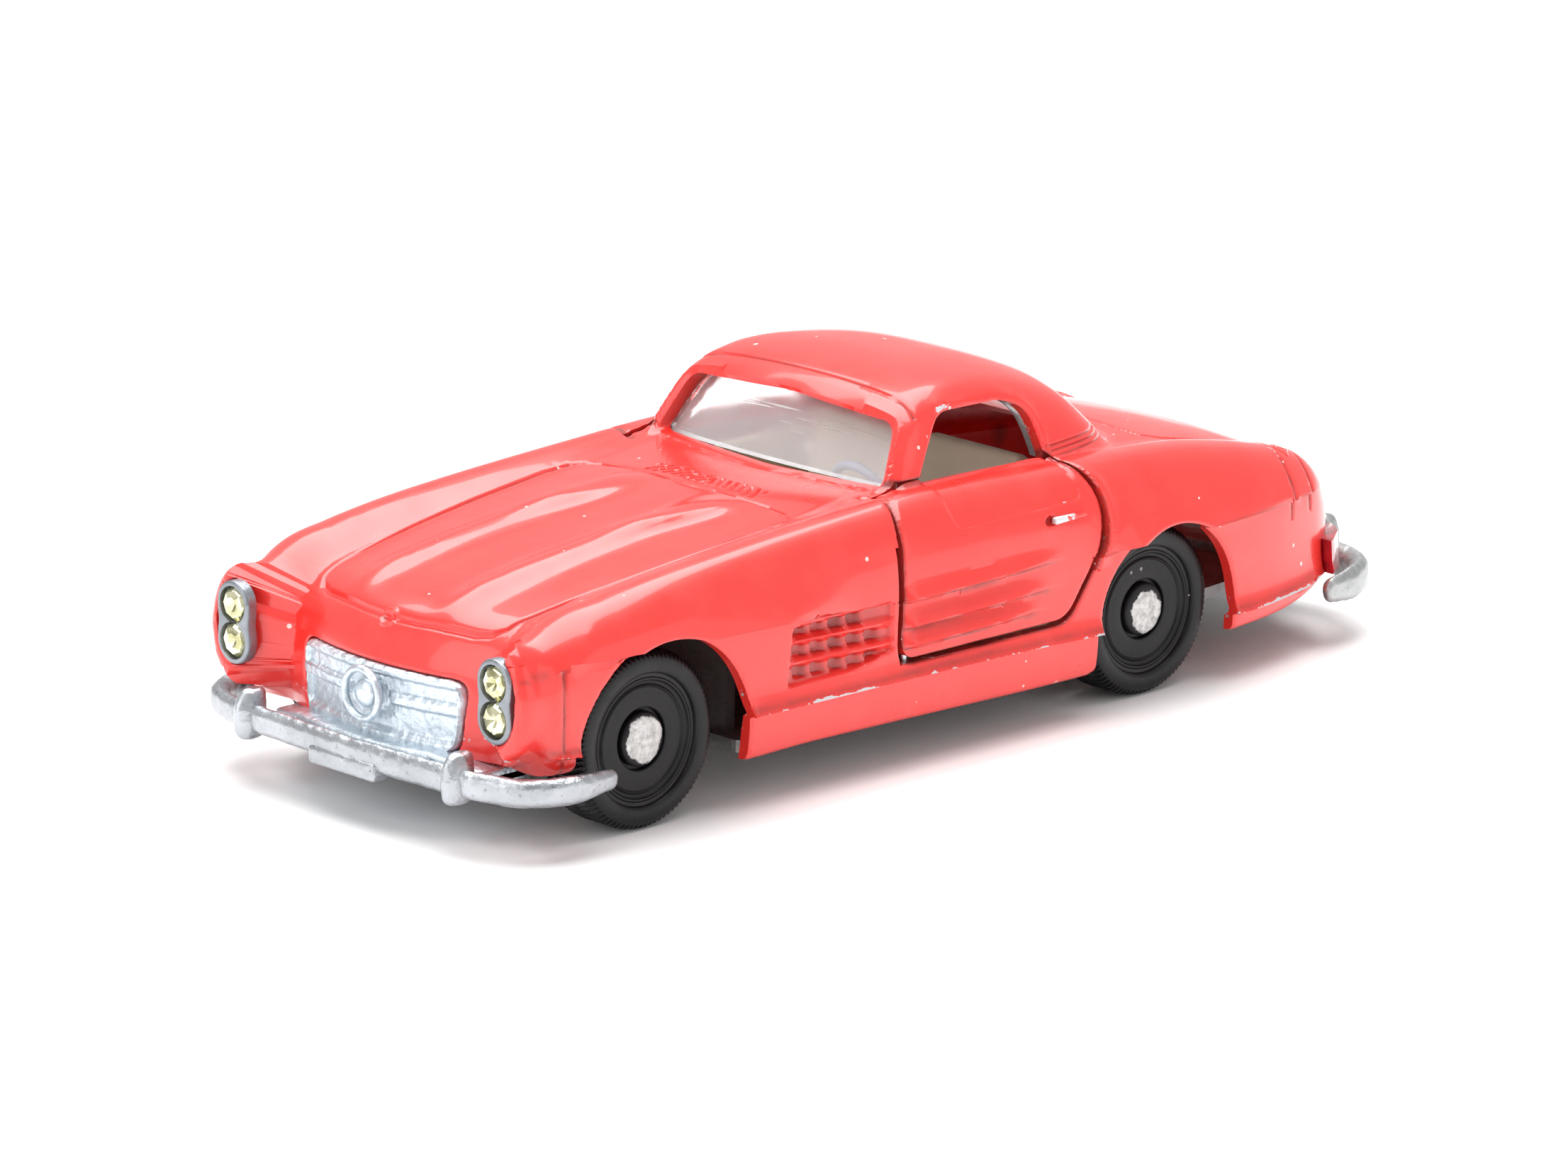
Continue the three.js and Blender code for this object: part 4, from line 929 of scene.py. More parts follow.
def red_enamel():
    material, g, coords = new_material("red_enamel", Coat_Weight=0.55, Coat_Roughness=0.07)
    wear = g.add("Attribute", attribute_name="wear").outputs["Fac"]
    painted_shade_and_grime = g.add("Attribute", attribute_name="painted_shade_and_grime").outputs["Fac"]
    tone = g.mix(g.ramp(g.noise(coords, 70.0, 3.0), 0.35, 0.7), RED_DEEP, RED)
    # painted shade with grime: the attribute darkens grooves, the door gap, recesses and the
    # shadowed undersides of the wing ledges and door ribs, broken up by noise
    shade_and_dirt = g.times(painted_shade_and_grime, g.ramp(g.noise(coords, 420.0, 4.0, 0.65), 0.3, 0.62, 0.45, 1.0))
    tone = g.mix(shade_and_dirt, tone, PAINTED_SHADE_AND_GRIME)
    specks = g.group(DUST, Vector=coords, Scale=750.0, Amount=0.10)["Mask"]
    tone = g.mix(specks, tone, SPECK)
    chips = g.group(CHIPS, Vector=coords, Wear=wear, Scale=800.0)
    tone = g.mix(chips["Mask"], tone, BARE)
    g.drive(Base_Color=tone)
    rough = g.ramp(g.noise(coords, 300.0, 4.0), 0.3, 0.7, 0.26, 0.36)
    rough = g.larger(rough, g.times(chips["Mask"], 0.5))
    g.drive(Roughness=g.larger(rough, g.times(shade_and_dirt, 0.7)))
    g.drive(Metallic=g.times(chips["Mask"], 0.55))
    peel = g.times(g.noise(coords, 520.0, 3.0), 0.35)
    height = g.math("SUBTRACT", peel, g.times(chips["Edge"], 0.9))
    height = g.math("ADD", height, g.times(specks, 0.5))
    g.bump(height, 0.00005, 0.6)
    return material


def casting(name, bright, dark, rough, scale, depth, metallic=0.85):
    material, g, coords = new_material(name, Metallic=metallic)
    grain = g.group(GRAIN, Vector=coords, Scale=scale)
    cloud = g.ramp(g.noise(coords, 180.0, 4.0), 0.35, 0.68)
    tone = g.mix(g.times(cloud, 0.4), bright, dark)
    tone = g.mix(g.times(grain["Pits"], 0.75), tone, dark)
    g.drive(Base_Color=tone)
    g.drive(Roughness=g.ramp(grain["Height"], 0.3, 0.8, rough + 0.12, rough - 0.08))
    g.bump(grain["Height"], depth, 0.8)
    return material


def plastic(name, colour, second, rough, scale=500.0, depth=0.00002, coat=0.0, dust=0.06,
            shine=0.5):
    material, g, coords = new_material(name, Coat_Weight=coat, Coat_Roughness=0.15,
                                               Specular_IOR_Level=shine)
    patches = g.ramp(g.noise(coords, scale * 0.3, 4.0), 0.35, 0.7)
    tone = g.mix(patches, colour, second)
    specks = g.group(DUST, Vector=coords, Scale=900.0, Amount=dust)["Mask"]
    pale = tuple(min(1.0, c * 0.5 + 0.35) for c in colour[:3]) + (1,)
    g.drive(Base_Color=g.mix(specks, tone, pale))
    g.drive(Roughness=g.ramp(g.noise(coords, scale, 4.0), 0.3, 0.7, rough - 0.06, rough + 0.08))
    g.bump(g.noise(coords, scale * 3, 3.0), depth, 0.6)
    return material


def hub_plastic(name, axle_x, offset, radius):
    """Black plastic with an uneven dab of silver paint on its dome."""
    material, g, coords = new_material(name, Specular_IOR_Level=0.3)
    centre = ((axle_x + SHIFT + offset[0]) * MM, 0, (AXLE_Z + offset[1]) * MM)
    seat = g.add("Mapping", {"Vector": coords, "Location": (-centre[0], 0, -centre[2]),
                             "Scale": (1, 0, 1)}).outputs[0]
    away = g.add("VectorMath", {0: seat}, operation="LENGTH").outputs["Value"]
    ragged = g.ramp(g.noise(coords, 900.0, 3.0), 0.2, 0.8, -0.35 * MM, 0.35 * MM)
    dab = g.ramp(g.math("ADD", away, ragged), radius * MM, (radius - 0.12) * MM)
    depth = g.add("SeparateXYZ", {"Vector": coords}).outputs["Y"]
    raised = g.ramp(g.math("ABSOLUTE", depth), (TYRE_FACE - 0.8) * MM, (TYRE_FACE - 0.7) * MM)
    dab = g.times(dab, raised)
    silver = g.mix(g.ramp(g.noise(coords, 1400.0, 4.0, 0.7), 0.35, 0.6), (0.40, 0.40, 0.39, 1),
                   (0.72, 0.72, 0.71, 1))
    specks = g.group(DUST, Vector=coords, Scale=900.0, Amount=0.08)["Mask"]
    black = g.mix(specks, (0.005, 0.005, 0.006, 1), (0.25, 0.25, 0.25, 1))
    g.drive(Base_Color=g.mix(dab, black, silver))
    g.drive(Roughness=g.ramp(dab, 0, 1, 0.42, 0.5))
    g.drive(Metallic=g.times(dab, 0.45))
    height = g.times(g.noise(coords, 1100.0, 4.0, 0.65), g.ramp(dab, 0, 1, 0.1, 1.0))
    g.bump(height, 0.00014, 0.8)
    return material


def clear_plastic():
    """Clear moulding, scuffed, that lets light through to the seats."""
    material, g, coords = new_material("clear_plastic", Transmission_Weight=0.84, IOR=1.4)
    g.drive(Base_Color=(0.97, 0.975, 0.98, 1))
    marks = g.group(SCRATCHES, Vector=coords, Scale=260.0)["Mask"]
    haze = g.ramp(g.noise(coords, 200.0, 4.0), 0.4, 0.75, 0.1, 0.26)
    g.drive(Roughness=g.larger(haze, g.times(marks, 0.5)))
    g.bump(marks, 0.00002, 0.5)
    tree = material.node_tree
    lit = g.add("BsdfTransparent", {"Color": (0.93, 0.94, 0.95, 1)})
    shadow = g.add("LightPath").outputs["Is Shadow Ray"]
    both = g.add("MixShader", {0: shadow, 1: g.shader.outputs[0], 2: lit.outputs[0]})
    tree.links.new(both.outputs[0], tree.nodes["Material Output"].inputs["Surface"])
    return material


def lens(name, colour, rough, transmission, dark, metallic=0.0):
    material, g, coords = new_material(name, Transmission_Weight=transmission, IOR=1.5,
                                               Coat_Weight=0.8, Metallic=metallic)
    cloud = g.ramp(g.noise(coords, 700.0, 3.0), 0.42, 0.58)
    g.drive(Base_Color=g.mix(cloud, colour, dark))
    g.drive(Roughness=g.ramp(g.noise(coords, 1500.0, 2.0), 0.3, 0.7, rough, rough + 0.1))
    g.bump(g.noise(coords, 1800.0, 2.0), 0.00002, 0.5)
    return material


ENAMEL = red_enamel()
GRILLE_CASTING, BRIGHT_CASTING, GREY_CASTING, BASE_CASTING, BEZEL_CASTING, STEEL = [
    casting(name, (*bright, 1), (*dark, 1), *rest) for name, bright, dark, *rest in (
        ("grille_casting", (0.70, 0.77, 0.83), (0.32, 0.38, 0.43), 0.34, 1300.0, 0.0002),
        ("bright_casting", (0.50, 0.52, 0.55), (0.13, 0.14, 0.15), 0.30, 1100.0, 0.00022),
        ("grey_casting", (0.50, 0.51, 0.51), (0.14, 0.14, 0.145), 0.38, 1100.0, 0.0002),
        ("base_casting", (0.36, 0.355, 0.35), (0.12, 0.12, 0.12), 0.5, 1500.0, 0.00015),
        ("bezel_casting", (0.30, 0.32, 0.35), (0.12, 0.125, 0.14), 0.36, 2200.0, 0.00004),
        ("axle_steel", (0.62, 0.62, 0.63), (0.3, 0.3, 0.3), 0.28, 2500.0, 0.00002, 1.0))]
RUBBER = plastic("tyre_rubber", (0.004, 0.004, 0.005, 1), (0.008, 0.008, 0.009, 1), 0.34, 600.0,
                 0.00004, 0.0, 0.03, 0.3)
TRIM = plastic("beige_plastic", (0.66, 0.58, 0.44, 1), (0.58, 0.50, 0.37, 1), 0.5, 400.0, 0.00003)
DASH = plastic("dash_plastic", (0.20, 0.24, 0.30, 1), (0.14, 0.17, 0.22, 1), 0.4, 500.0)
CLEAR = clear_plastic()
JEWEL = lens("jewel", (0.90, 0.87, 0.58, 1), 0.03, 0.0, (0.46, 0.44, 0.22, 1), 0.9)
RED_LENS = lens("red_lens", (0.62, 0.006, 0.022, 1), 0.06, 0.12, (0.34, 0.002, 0.010, 1))
HUBS = {"front": hub_plastic("hub_front", AXLES["front"], (0.0, 0.0), 1.95),
        "rear": hub_plastic("hub_rear", AXLES["rear"], (0.15, -0.2), 1.8)}


# ---------------------------------------------------------------- shell and doors
def arch_cutter(centre_x, radius):
    turns = [math.pi * k / 40 for k in range(41)]
    points = [(centre_x + radius * math.cos(t), ARCH_Z + radius * math.sin(t)) for t in turns]
    points += [(centre_x - radius, -2), (centre_x + radius, -2)]
    return scratch(prism(points, "side", ARCH_INNER, 26, mirrored=True))


def swing_room():
    """The space a door's front edge sweeps behind the wing's skin as the door opens."""
    hinge = middle("door_hinge_pin_right")
    hinge_x, edge_x = hinge.x - SHIFT, DOOR_FRONT + DOOR_GAP
    bm = bmesh.new()
    heights = np.linspace(8.75, 18.2, 24)
    skin_y = side_line(edge_x) - tuck(edge_x, heights)
    radii = np.hypot(hinge_x - edge_x, np.maximum(skin_y - hinge.y, 0)) + 0.22
    places = [(0.0, heights[0]), *zip(radii, heights), (0.0, heights[-1])]
    verts = [bm.verts.new((hinge_x + radius, hinge.y, z)) for radius, z in places]
    edges = [bm.edges.new(pair) for pair in zip(verts, verts[1:])]
    bmesh.ops.spin(bm, geom=verts + edges, cent=(hinge_x, hinge.y, 0), axis=(0, 0, 1),
                   angle=2 * math.pi, steps=40, use_merge=True)
    bmesh.ops.remove_doubles(bm, verts=bm.verts, dist=1e-3)
    twin(bm)
    return bm


def tail_lamp_plan(gap):
    return rounded([(41.3 - gap, 18.4), (41.3 - gap, 15.4 - gap), (45.6, 12.6 - gap),
                    (49.6, 12.6 - gap), (49.6, 18.4)], 0.2, 2)


def store_marks(thing, painted_shade_and_grime, wear):
    for name, values in (("painted_shade_and_grime", painted_shade_and_grime), ("wear", wear)):
        layer = thing.data.attributes.new(name, "FLOAT", "POINT")
        layer.data.foreach_set("value", np.ascontiguousarray(values, np.float32))


def vectors(values, kind, count):
    """An attribute of many vertices as rows of three numbers."""
    flat = np.zeros(count * 3, np.float32)
    values.foreach_get(kind, flat)
    return flat.reshape(-1, 3).astype(float)


def surface_marks(thing):
    """Stores where painted shade and grime darken the paint and where the coat is worn, as point
    attributes.
    """
    mesh = thing.data
    co = vectors(mesh.vertices, "co", len(mesh.vertices)) / MM
    facing = vectors(mesh.vertex_normals, "vector", len(mesh.vertices))
    facing[:, 1] *= np.where(co[:, 1] < 0, -1, 1)
    x, y, z = co[:, 0] - SHIFT, np.abs(co[:, 1]), co[:, 2]
    near_side = co[:, 1] < 0
    up = facing[:, 2] > 0.45
    side = facing[:, 1] > 0.5
    edges = opening_distances(x, y, z)
    lines = line_distances(x, y, z, up)
    depth = relief(x, y, z, facing)
    sill = z - sill_height(x)
    panel = side & (x < -11.4) & (z < 15) & (z > 8.6)
    intake = up & (x > -15) & (x < -12.6) & (y < 6.4)
    foot = side & (x > 10.2) & (x < 20.5) & (z > 20.7) & (z < 22.1)
    # painted shade with grime along the grooves, the door gap, the vent and intake recesses, a band
    # just over the sill crease, the handle cup and the mouldings
    painted_shade_and_grime = [0.85 * hill(lines[name], 0.14) for name in GROOVES]
    painted_shade_and_grime += [0.8 * hill(edges["door"], 0.1),
              on(panel | intake, np.clip(-(depth + 0.26) * 2.4, 0, 0.7)),
              on(side, 0.5 * hill(sill - 0.45, 0.3)),
              on(side, 0.7 * ease(1.1, 0.7, cup_distance(x, z))),
              # painted shadow under the overhanging wing ledges
              on(side & (flare_reach(x) > 0.2), 0.55 * hill(z - flare_height(x) + 0.15, 0.2)),
              on(foot, np.clip(-depth * 5, 0, 0.7))]
    for front_z, end in DOOR_SPEARS:
        # painted shadow under the lower edge of each door rib
        under = hill(spear_offset(x, z, front_z) + 0.2, 0.13)
        painted_shade_and_grime.append(on(side, under * ease(end, end - 5, x) * ease(-12, -11, x)))
    # worn spots: the sill behind the front wheel, the tail crease, the roof rail and all edges
    behind_wheel = ease(-22, -20.5, x) * ease(-12.5, -16, x)
    at_tail = ease(31, 33, x) * ease(39.5, 37.5, x)
    crease = hill(sill - 0.02, 0.34) * (facing[:, 2] > -0.75)
    wear = [np.full_like(x, 0.04), crease * (0.66 + 0.34 * behind_wheel + 0.34 * at_tail),
            0.62 * hill(edges["window"] - 0.4, 0.4) * (z > 24.5) * (x < 2)]
    wear += [amount * hill(edges[name], 0.12)
             for name, amount in (("door", 0.45), ("front_arch", 0.42), ("rear_arch", 0.4),
                                  ("grille", 0.3), ("screen", 0.35), ("window", 0.5))]
    wear = np.maximum.reduce(wear) * np.where(near_side, 1, 0.9)
    store_marks(thing, np.maximum.reduce(painted_shade_and_grime), wear)


def make_shell():
    outer = scratch(skin(190, 1, 0, True, detailed=True), "outer")
    inner = scratch(skin(96, 0.5, -SHELL_WALL, False), "inner")
    door_inner = scratch(skin(96, 0.5, -DOOR_WALL, False), "door_inner")
    openings = [arch_cutter(x, radius) for x, radius in ARCHES]
    openings += [scratch(prism(DOOR_EDGE, "side", 13.9, 26, mirrored=True)),
                 scratch(prism(WINDOW, "side", 9.5, 26, mirrored=True)),
                 scratch(prism(SCREEN, "front", -9.4, 2)),
                 scratch(prism(BACKLIGHT, "front", 13, 26)),
                 scratch(prism(GRILLE, "front", LAMP_FRONT - 3, -44)),
                 scratch(prism(oval(*LAMP_HOLE, (LAMP_SIDE, LAMP_HEIGHT), 64), "front",
                               LAMP_FRONT - 3, LAMP_SEAT, mirrored=True)),
                 scratch(prism(tail_lamp_plan(0.12), "plan", 5.98, 8.92, mirrored=True)),
                 scratch(swing_room())]
    shell = carve(outer, ("DIFFERENCE", inner), *[("DIFFERENCE", tool) for tool in openings])
    largest_part(shell)
    body = piece("body_casting", shell, ENAMEL, "car", ["body_shell"], smooth=34)
    surface_marks(body)
    for side, sign in SIDES:
        start, end = sorted(sign * reach for reach in DOOR_REACH)
        panel = scratch(prism(door_outline(DOOR_GAP), "side", start, end))
        door = carve(outer, ("INTERSECT", panel), ("DIFFERENCE", door_inner))
        largest_part(door)
        made = piece(f"door_panel_{side}", door, ENAMEL, f"{side}_door", [f"door_{side}"],
                     smooth=34)
        surface_marks(made)
        discard(panel)
    discard(outer, inner, door_inner, *openings)


def door_handles():
    for side, sign in SIDES:
        bm = block(5.9, 9.5, 19.12, 19.72, 17.15, 17.68, 0.17, 4)
        for vert in bm.verts:
            t = (vert.co.x - 5.9) / 3.6
            vert.co.z = 17.42 + (vert.co.z - 17.42) * (1.1 - 0.45 * t)
            vert.co.y -= 0.12 * abs(2 * t - 1) ** 3
        stalks = [block(x, x + 0.5, 18.6, 19.4, 17.28, 17.56, 0.08, 2) for x in (6.3, 8.7)]
        bm = joined(bm, *stalks)
        to_side(bm, sign)
        made = piece(f"door_handle_{side}", bm, ENAMEL, f"{side}_door")
        along = np.array([v.co.x / MM - SHIFT for v in made.data.vertices])
        store_marks(made, along * 0, 0.55 + 0.45 * ease(8.2, 6.8, along))


# ---------------------------------------------------------------- grille, bumpers and lamps
GRILLE_BAR = 9.98


def lumpy(place, scale, amount):
    return amount * noise.noise(Vector(place) * scale)


def grille_front(y, z):
    """Forward face of the grille: bowed, with a raised frame, a cross bar and a lower lip."""
    bow = 1.55 * (y / 9.7) ** 2
    x = -49.72 + bow
    to_side = (9.5 - 0.12 * (12.2 - z)) - abs(y)
    edge = min(to_side, 12.25 - z, z - 6.45)
    frame = 0.34 * float(ease(0.75, 0.45, edge))
    bar = 0.42 * float(ease(0.62, 0.3, abs(z - GRILLE_BAR))) * float(ease(2.0, 2.6, abs(y)))
    lip = 0.5 * float(ease(7.6, 7.0, z))
    return x - max(frame, bar, lip) + lumpy((x, y, z), 1.7, 0.05) + lumpy((x, y, z), 4.1, 0.03)


def grille_panel():
    def where(s, t):
        z = 6.42 + (12.28 - 6.42) * t
        half = 8.78 + 0.115 * (z - 6.3)
        corner = 1.5
        near = min(z - 6.42, 12.28 - z)
        if near < corner:
            half -= corner - math.sqrt(max(corner ** 2 - (corner - near) ** 2, 0))
        y = half * (2 * s - 1)
        edge = min(half - abs(y), near)
        return Vector((grille_front(y, z) + 0.3 * float(ease(0.25, 0, edge)), y, z))
    bm = place_grid(150, 52, where, closed=False)
    rim = [e for e in bm.edges if e.is_boundary]
    made = bmesh.ops.extrude_edge_only(bm, edges=rim)["geom"]
    for vert in {g for g in made if isinstance(g, bmesh.types.BMVert)}:
        vert.co.x = -47.2
    close_holes(bm)
    return bm


def ring_badge():
    """A plain ring with a low dome in it, at the middle of the cross bar."""
    def where(s, t):
        a, b = 2 * math.pi * s, 2 * math.pi * t
        radius = 1.98 + 0.3 * math.cos(b)
        return Vector((-50.75 + 0.34 * math.sin(b), radius * math.cos(a),
                       GRILLE_BAR + radius * math.sin(a)))
    ring = place_grid(64, 12, where)
    dome = bmesh.new()
    bmesh.ops.create_uvsphere(dome, u_segments=32, v_segments=16, radius=1)
    bmesh.ops.scale(dome, vec=(0.55, 1.15, 1.15), verts=dome.verts)
    bmesh.ops.translate(dome, vec=(-50.35, 0, GRILLE_BAR), verts=dome.verts)
    return joined(ring, dome)


def blade(plan, height, reach, tall):
    """A bumper bar swept round the car in plan, with a creased outer face and round ends."""
    xs, ys = [p[0] for p in plan], [p[1] for p in plan]
    chord = np.concatenate([[0], np.cumsum(np.hypot(np.diff(xs), np.diff(ys)))])
    along_x = curve(*zip(chord, xs))
    along_y = curve(*zip(chord, ys))
    total = chord[-1]
    section = rounded([(0.7, -0.62), (0.75, 0.55), (0.1, 0.98), (-0.75, 0.62), (-1.0, 0.1),
                       (-0.7, -0.75), (0.0, -1.0)], 0.3, 3)
    section = section + section[:1]
    facing = 1 if plan[0][0] > plan[len(plan) // 2][0] else -1

    def where(s, t):
        # the ends are closed by shrinking the last few sections on a round curve
        cap = 0.022
        pos = float(np.clip((s - cap) / (1 - 2 * cap), 0, 1)) * total
        close = min(s, 1 - s) / cap
        shrink = math.sqrt(max(1 - (1 - min(close, 1)) ** 2, 0))
        x, y = float(along_x(pos)), float(along_y(pos))
        dx = float(along_x(min(pos + 0.3, total)) - along_x(max(pos - 0.3, 0)))
        dy = float(along_y(min(pos + 0.3, total)) - along_y(max(pos - 0.3, 0)))
        length = math.hypot(dx, dy)
        k = t * (len(section) - 1)
        i = min(int(k), len(section) - 2)
        a = section[i][0] + (section[i + 1][0] - section[i][0]) * (k - i)
        b = section[i][1] + (section[i + 1][1] - section[i][1]) * (k - i)
        outward_x, outward_y = -dy / length * facing, dx / length * facing
        tip = 0.85 * (1 - min(close, 1))
        shrink *= 0.7 + 0.3 * float(ease(0, 0.1, min(s, 1 - s)))
        end = Vector((dx / length, dy / length)) * (tip * (-1 if s < 0.5 else 1))
        push = a * reach * shrink
        place = Vector((x + outward_x * push + end.x, y + outward_y * push + end.y,
                        height + b * tall * shrink))
        bumps = lumpy(place, 1.1, 0.07) + lumpy(place, 3.0, 0.03)
        return place + Vector((0, 0, bumps * shrink))
    return place_grid(150, 56, where)


FRONT_HALF = [(-42.9, 19.7), (-46.6, 19.8), (-49.9, 18.2), (-51.4, 14.8), (-51.95, 8)]
REAR_HALF = [(40.6, 17.9), (44, 17.2), (46.9, 15.2), (48.5, 11.2), (49.1, 5)]


def both_sides(half, middle_x):
    return [(x, -y) for x, y in half] + [(middle_x, 0)] + half[::-1]


def overrider(x0, x1, y, z0, z1, facing):
    """An upright horn with a rounded nose and a ridge down its front."""
    bm = block(x0, x1, y - 1.1, y + 1.1, z0, z1)
    bmesh.ops.subdivide_edges(bm, edges=bm.edges[:], cuts=7, use_grid_fill=True)
    centre = Vector(((x0 + x1) / 2, y, (z0 + z1) / 2))
    half = Vector(((x1 - x0) / 2, 1.1, (z1 - z0) / 2))
    for vert in bm.verts:
        p = Vector([(vert.co[k] - centre[k]) / half[k] for k in range(3)])
        power = 3.4
        length = (abs(p.x) ** power + abs(p.y) ** power + abs(p.z) ** power) ** (1 / power)
        p = p / max(length, 1e-6)
        front = max(facing * p.x, 0)
        p.y *= 1 - 0.3 * front - 0.2 * max(p.z, 0)
        p.x += facing * (0.16 * front * math.exp(-(p.y / 0.3) ** 2) - 0.4 * max(p.z, 0) ** 2)
        vert.co = Vector([centre[k] + p[k] * half[k] for k in range(3)])
        vert.co += vert.normal * (lumpy(vert.co, 1.3, 0.09) + lumpy(vert.co, 3.3, 0.03))
    return bm


def bright_metal():
    def metal(name, bm, material=BRIGHT_CASTING, replaces=(), smooth=38):
        piece(name, bm, material, "car", replaces, smooth)
    metal("grille_panel", grille_panel(), GRILLE_CASTING, ["front_bumper_grille"], 42)
    metal("grille_ring", ring_badge(), GRILLE_CASTING)
    apron = block(-51.6, -46.8, -12.2, 12.2, 4.5, 6.75, 0.35, 3)
    bmesh.ops.subdivide_edges(apron, edges=apron.edges[:], cuts=5, use_grid_fill=True)
    for vert in apron.verts:
        vert.co.x += 1.5 * (vert.co.y / 9.7) ** 2 + lumpy(vert.co, 1.6, 0.12)
        if vert.co.z > 5.6:
            vert.co.z -= 0.75 * float(ease(8.8, 10.5, abs(vert.co.y)))
    metal("grille_apron", apron, GRILLE_CASTING)
    metal("front_bumper_blade", blade(both_sides(FRONT_HALF, -52.2), 5.75, 0.95, 1.25), smooth=50)
    horns = [overrider(-53.1, -50.6, y, 3.95, 8.1, -1) for y in (-12.2, 12.2)]
    metal("front_overriders", joined(*horns), smooth=60)
    metal("front_plate_block", block(-53.05, -51.3, -3.9, 3.9, 4.0, 5.5, 0.3, 3))
    bar = blade(both_sides(REAR_HALF, 49.2), 5.0, 1.05, 1.6)
    metal("rear_bumper_blade", bar, GREY_CASTING, ["rear_bumper"], 50)
    horns = [overrider(48.5, 50.5, y, 3.55, 8.35, 1) for y in (-9.2, 9.2)]
    metal("rear_overriders", joined(*horns), GREY_CASTING, smooth=60)
    lugs = [block(42.0, 49.4, -6.9, 6.9, 4.2, 5.9, 0.3, 3),
            block(48.6, 49.9, -3.2, 3.2, 5.6, 7.4, 0.3, 3)]
    metal("rear_bumper_mount", joined(*lugs), GREY_CASTING)


WAIST = ((0.5, 0.25), (0.2, 0.8), (0.0, 1.0), (-0.2, 0.8), (-0.5, 0.25))


def double_ring(radius, centre, spacing, pinch=0.14, steps=30):
    """Outline of two rings, one above the other, drawn together at the waist."""
    turns = [math.pi * k / steps for k in range(steps + 1)]
    upper = [(radius * math.cos(t), spacing + radius * math.sin(t)) for t in turns]
    half = upper + [(-radius + pinch * bend, spacing * at)
                    for at, bend in WAIST]
    lower = [(-a, -b) for a, b in half]
    return [(centre[0] + a, centre[1] + b) for a, b in half + lower]


def headlamps():
    bezel_front = LAMP_SEAT - 0.95
    for side, sign in SIDES:
        centre = (LAMP_SIDE, LAMP_HEIGHT)
        bm = prism(double_ring(1.88, centre, 1.52), "front", bezel_front, LAMP_SEAT)
        face = min(bm.faces, key=lambda f: f.calc_center_median().x)
        bevel(bm, [e for e in face.edges], 0.24, 4)
        body = scratch(bm)
        cuts = []
        for height in (LAMP_SPACING, -LAMP_SPACING):
            well = prism(oval(1.5, 1.5, (LAMP_SIDE, LAMP_HEIGHT + height), 40), "front",
                         bezel_front - 1, LAMP_SEAT - 0.3)
            cuts.append(scratch(well))
        bm = carve(body, *[("DIFFERENCE", tool) for tool in cuts])
        lips = [e for e in sharp_edges(bm, 50) if all(
            v.co.x < bezel_front + 0.01
            and math.hypot(v.co.y - LAMP_SIDE, abs(v.co.z - LAMP_HEIGHT) - LAMP_SPACING) < 1.56
            for v in e.verts)]
        bevel(bm, lips, 0.08, 3)
        to_side(bm, sign)
        piece(f"lamp_bezel_{side}", bm, BEZEL_CASTING, "car", [f"headlight_bezel_{side}"])
        discard(body, *cuts)
        for label, height in (("upper", LAMP_SPACING), ("lower", -LAMP_SPACING)):
            gem = bmesh.new()
            bmesh.ops.create_cone(gem, cap_ends=True, cap_tris=False, segments=8, radius1=1.49,
                                  radius2=1.12, depth=0.46)
            top = max(gem.faces, key=lambda f: f.calc_center_median().z)
            bmesh.ops.inset_individual(gem, faces=[top], thickness=0.5, depth=0.14)
            bmesh.ops.poke(gem, faces=[top], offset=-0.4)
            bmesh.ops.rotate(gem, verts=gem.verts, matrix=Matrix.Rotation(-math.pi / 2, 3, "Y"))
            seat = (bezel_front + 0.28, sign * LAMP_SIDE, LAMP_HEIGHT + height)
            bmesh.ops.translate(gem, vec=seat, verts=gem.verts)
            bmesh.ops.recalc_face_normals(gem, faces=gem.faces)
            piece(f"lamp_jewel_{label}_{side}", gem, JEWEL, "car",
                  [f"headlight_jewel_{label}_{side}"], smooth=0)


def tail_lamps():
    room = scratch(skin(110, 0.5, 1.05, False))
    core = scratch(skin(110, 0.5, -0.5, False))
    for side, sign in SIDES:
        tool = scratch(prism(tail_lamp_plan(0), "plan", 6.1, 8.8))
        bm = carve(tool, ("INTERSECT", room), ("DIFFERENCE", core))
        bmesh.ops.dissolve_limit(bm, angle_limit=math.radians(9), verts=bm.verts, edges=bm.edges)
        for vert in bm.verts:
            if vert.co.z > 8.5:
                vert.co.z += 0.45 * math.exp(-((vert.co.x - 43) / 1.4) ** 2)
        bevel(bm, sharp_edges(bm, 45), 0.12, 2)
        to_side(bm, sign)
        piece(f"tail_lens_{side}", bm, RED_LENS, "car", [f"tail_light_{side}"], 20)
        discard(tool)
    discard(room, core)


# ---------------------------------------------------------------- glass and cockpit
def glazing():
    outside = scratch(skin(150, 1, -1.2, False))
    inside_skin = scratch(skin(150, 1, -1.85, False))
    zone = scratch(block(-9, 22, -13.4, 13.4, 20.95, 30))
    gap = scratch(prism(WINDOW, "side", 9.5, 26, mirrored=True))
    bm = carve(outside, ("INTERSECT", zone), ("DIFFERENCE", inside_skin), ("DIFFERENCE", gap))
    largest_part(bm)
    piece("clear_glazing", bm, CLEAR, "car", ["glazing"], smooth=40)
    discard(outside, inside_skin, zone, gap)


